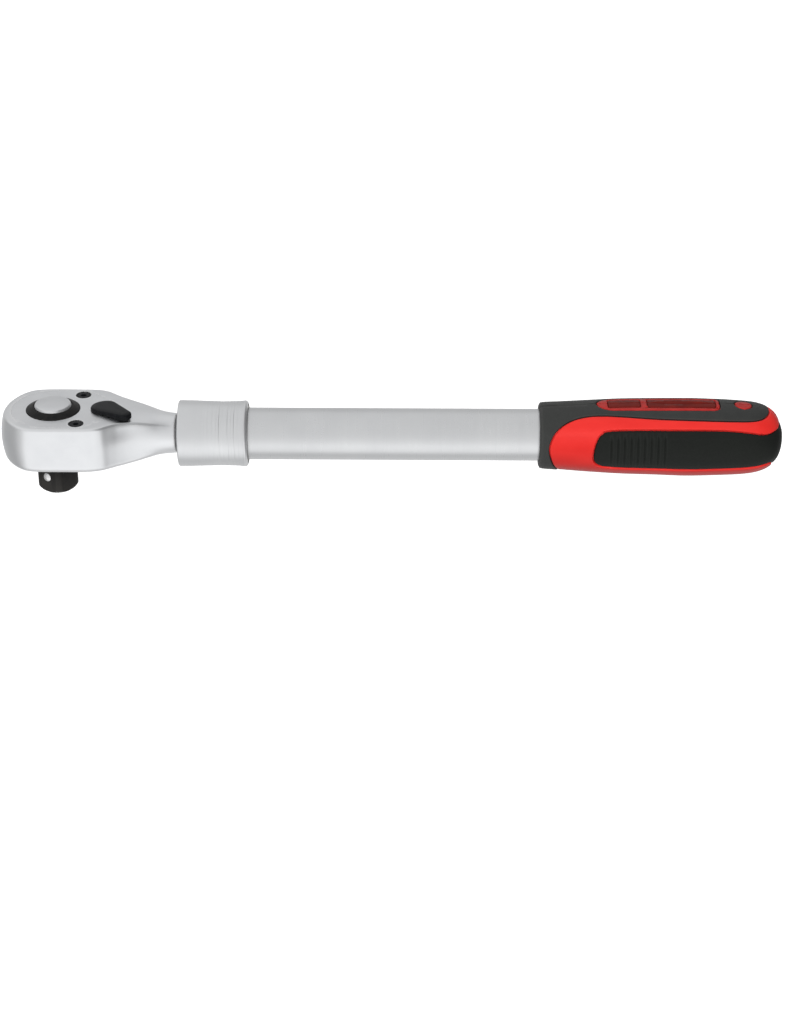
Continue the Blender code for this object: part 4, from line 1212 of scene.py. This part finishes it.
def make_grip(red, top_rubber_painted_light, pad_rubber_painted_shade, panel, dark):
    """The shells that cover the grip, each cut from the unrolled half along the curves between them."""
    half = SEAM / 2
    side = GRIP_SIDE
    red_front = through(unrolled(RED_FRONT))
    pad_edge = through(unrolled(PAD_EDGE))
    label = through(unrolled(LABEL_EDGE), 0.4)
    centre = unrolled([(BADGE_X, 90)])[0]
    badge = np.array(arc(*centre, BADGE_RADIUS, math.pi, math.tau, 24))
    fields = [through(unrolled(field_edge(*f)), 0.3) for f in LABEL_FIELDS]

    # front ring and top: everything forward of and above the red
    edges = [beside(red_front, half), beside(badge[::-1], half), beside(label[::-1], half)]
    front = np.array([(0, side), (0, -side)], float)
    outline = np.vstack([*edges, front])
    grip_shell("grip_top", outline, [*edges, front], top_rubber_painted_light, "black_rubber", ["grip_overmold"])

    # red flanks, joined behind the top and underneath
    edges = [beside(red_front[::-1], half), beside(pad_edge, half)]
    grip_shell("grip_flanks", np.vstack(edges), edges, red, "red_plastic", ["grip_core"], sunk=0.2)

    # side pads, joined round the rear end
    edge = beside(pad_edge[::-1], half)
    outline = np.vstack([edge, [(GRIP_LENGTH, -side), (GRIP_LENGTH, side)]])
    grip_shell("grip_pads", outline, [edge], pad_rubber_painted_shade, "black_rubber", ["grip_overmold"], relief=pad_relief)

    # panel on the top, with its two dark fields
    edges = [beside(label, half)] + [beside(f[::-1], FIELD_SEAM) for f in fields[::-1]]
    grip_shell("panel_frame", np.vstack(edges), edges, panel, "red_plastic", ["grip_label"], sunk=0.15)
    for number, field in enumerate(fields, 1):
        edge = beside(field, FIELD_SEAM)
        grip_shell(f"panel_field_{number}", edge, [edge], dark, "black_rubber", ["grip_label"], sunk=0.3)

    edge = beside(badge, half)
    grip_shell("badge", edge, [edge], panel, "red_plastic", ["grip_badge"], sunk=0.1)


def make_grip_core(red):
    """The moulded core under the shells, bored for the tube."""
    bm = bmesh.new()
    elevations = np.linspace(-math.pi / 2, 3 * math.pi / 2, 96, endpoint=False) * GRIP_MEAN
    drop = SHELL_DEPTH + CORE_GAP
    rings = []
    for u in np.linspace(CORE_SHORT[0], GRIP_LENGTH - CORE_SHORT[1], 90):
        flat = np.column_stack([np.full(len(elevations), u), elevations])
        rings.append([bm.verts.new(p) for p in grip_surface(flat, drop)])
    front = rings[0][0].co.x
    rear = rings[-1][0].co.x + 0.3
    stop = TUBE_HIGH.x + TUBE_END_GAP
    bore = TUBE_RADIUS + TUBE_GAP
    rings.append([bm.verts.new((rear, 0, 0))])
    bore_rings = [
        [bm.verts.new((x, -bore * math.cos(a), bore * math.sin(a))) for a in elevations / GRIP_MEAN]
        for x in (front, stop)
    ]
    skin(bm, [[bm.verts.new((stop, 0, 0))], bore_rings[1], bore_rings[0], *rings])
    core = new_object("grip_inside", placed(bm))
    install(core, red, "red_plastic", "handle", "grip_core")


# ---- carried-over pieces ----


def finish_node(material, *nodes):
    """Gives CAD nodes that are shown as they are their material."""
    for node in nodes:
        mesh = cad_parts[node].data
        mesh.materials.clear()
        mesh.materials.append(material)


# ---- studio ----


def make_floor():
    """A pale sheet that glows a little, so that it comes out white. It isn't seen in reflections."""
    bm = bmesh.new()
    bmesh.ops.create_grid(bm, x_segments=1, y_segments=1, size=FLOOR_HALF)
    floor = new_object("studio_floor", bm)
    floor.location.z = CAD_BOX[0].z
    material = bpy.data.materials.new("floor_white")
    material.use_nodes = True
    inputs = material.node_tree.nodes["Principled BSDF"].inputs
    inputs["Base Color"].default_value = (0.9, 0.9, 0.9, 1)
    inputs["Emission Color"].default_value = (1, 1, 1, 1)
    inputs["Emission Strength"].default_value = FLOOR_GLOW
    inputs["Roughness"].default_value = 0.9
    inputs["Specular IOR Level"].default_value = 0.0
    floor.data.materials.append(material)
    floor.visible_glossy = False
    floor.visible_diffuse = False


def make_world():
    """A light tent: brightest low in front, grey above and behind, darker at the two sides."""
    world = bpy.data.worlds.new("tent")
    bpy.context.scene.world = world
    world.use_nodes = True
    sky = Graph(world.node_tree)
    split = sky.nodes.new("ShaderNodeSeparateXYZ")
    sky.links.new(sky.node("TexCoord", output="Generated"), split.inputs[0])
    x, y, z = split.outputs

    round_x = sky.computed("ARCTAN2", z, sky.computed("MULTIPLY", y, -1))
    tent = sky.ramp(sky.computed("MULTIPLY_ADD", round_x, 0.5 / math.pi, 0.5), TENT_TONES)
    along = sky.computed("MULTIPLY_ADD", z, SIDE_SLANT, x)
    sides = sky.ramp(sky.computed("MULTIPLY_ADD", along, SIDE_SCALE, 0.5), SIDE_TONES)
    lost = sky.ramp(sky.computed("MULTIPLY_ADD", z, 0.5, 0.5), MATT_LOSS)
    dimming = sky.computed("MULTIPLY", sky.node("LightPath", output="Is Diffuse Ray"), lost)
    dimmed = sky.mixed(dimming, sky.mixed(1, tent, sides, "MULTIPLY"), (0, 0, 0))
    background = sky.nodes["Background"]
    sky.links.new(dimmed, background.inputs["Color"])
    background.inputs["Strength"].default_value = TENT_STRENGTH


def make_lights():
    for name, (place, power) in LIGHTS.items():
        data = bpy.data.lights.new(name, "AREA")
        data.shape = "DISK"
        data.size = LIGHT_SIZE
        data.energy = power
        light = bpy.data.objects.new(name, data)
        light.location = place
        light.rotation_mode = "QUATERNION"
        light.rotation_quaternion = (Vector(LIGHT_AIM) - Vector(place)).to_track_quat("-Z", "Y")
        light.visible_glossy = False
        bpy.context.scene.collection.objects.link(light)


def make_camera():
    """Looks along +Y and down onto the handle's axis, which it holds a little above the middle."""
    data = bpy.data.cameras.new("camera")
    data.lens = CAMERA_LENS
    data.sensor_width = 36
    data.clip_start = 0.01
    camera = bpy.data.objects.new("camera", data)
    away = Vector((0, -math.cos(CAMERA_RISE), math.sin(CAMERA_RISE)))
    camera.location = Vector((CAMERA_AIM_X * MM, 0, AXIS_Z * MM)) + away * CAMERA_DISTANCE
    tip = Matrix.Rotation(math.pi / 2 - CAMERA_RISE - CAMERA_LIFT, 4, "X")
    camera.rotation_euler = (tip @ Matrix.Rotation(CAMERA_ROLL, 4, "Z")).to_euler()
    bpy.context.scene.collection.objects.link(camera)
    bpy.context.scene.camera = camera


# ---- all of it ----


make_camera()
make_world()
make_lights()
make_floor()
bpy.context.scene.view_settings.view_transform = "Standard"

forged = satin_chrome("forged_chrome", 0.79, 0.35)
collar_chrome = turned_chrome("collar_chrome", 0.73, 0.36)
# The tube's chrome is toned darker than the collar's: painted shade on the tube.
tube_chrome_painted_shade = turned_chrome("tube_chrome_painted_shade", 0.68, 0.32)
rod_chrome = turned_chrome("rod_chrome", 0.78, 0.24)
steel = polished_steel()
oxide = black_oxide()
lever_black = glossy_black()
spring = spring_steel()
bronze = bearing_bronze()
red = red_plastic()
# The top and the pads are one black overmould. The top's copy is lighter and glossier, which is painted light
# from above. The pads' copy is darker, which is painted shade on the sides.
top_rubber_painted_light = black_rubber("top_rubber_painted_light", (0.016, 0.017, 0.016), (0.045, 0.046, 0.044), 0.6)
pad_rubber_painted_shade = black_rubber("pad_rubber_painted_shade", (0.005, 0.006, 0.005), (0.02, 0.022, 0.02), 0.25)

make_head(forged)
make_cover(forged)
make_cover_screws(lever_black)
make_drive(oxide)
make_button(satin_chrome("button_satin", 0.74, 0.38))
make_drive_ball(steel)
make_lever(lever_black)
make_rod(rod_chrome)
make_tube(tube_chrome_painted_shade)
make_collar(collar_chrome)
make_grip(red, top_rubber_painted_light, pad_rubber_painted_shade, panel_red(), label_field())
make_grip_core(red)

finish_node(steel, "pawl_pin", "release_plunger", "selector_plunger")
finish_node(steel, "lock_ball_1", "lock_ball_2", "lock_ball_3")
finish_node(oxide, "pawl", "selector_circlip", "rod_end_screw")
finish_node(spring, "release_spring", "selector_spring", "lock_spring")
finish_node(spring, "collar_retaining_ring", "spring_seat_ring")
finish_node(bronze, "nose_bush", "rod_guide")
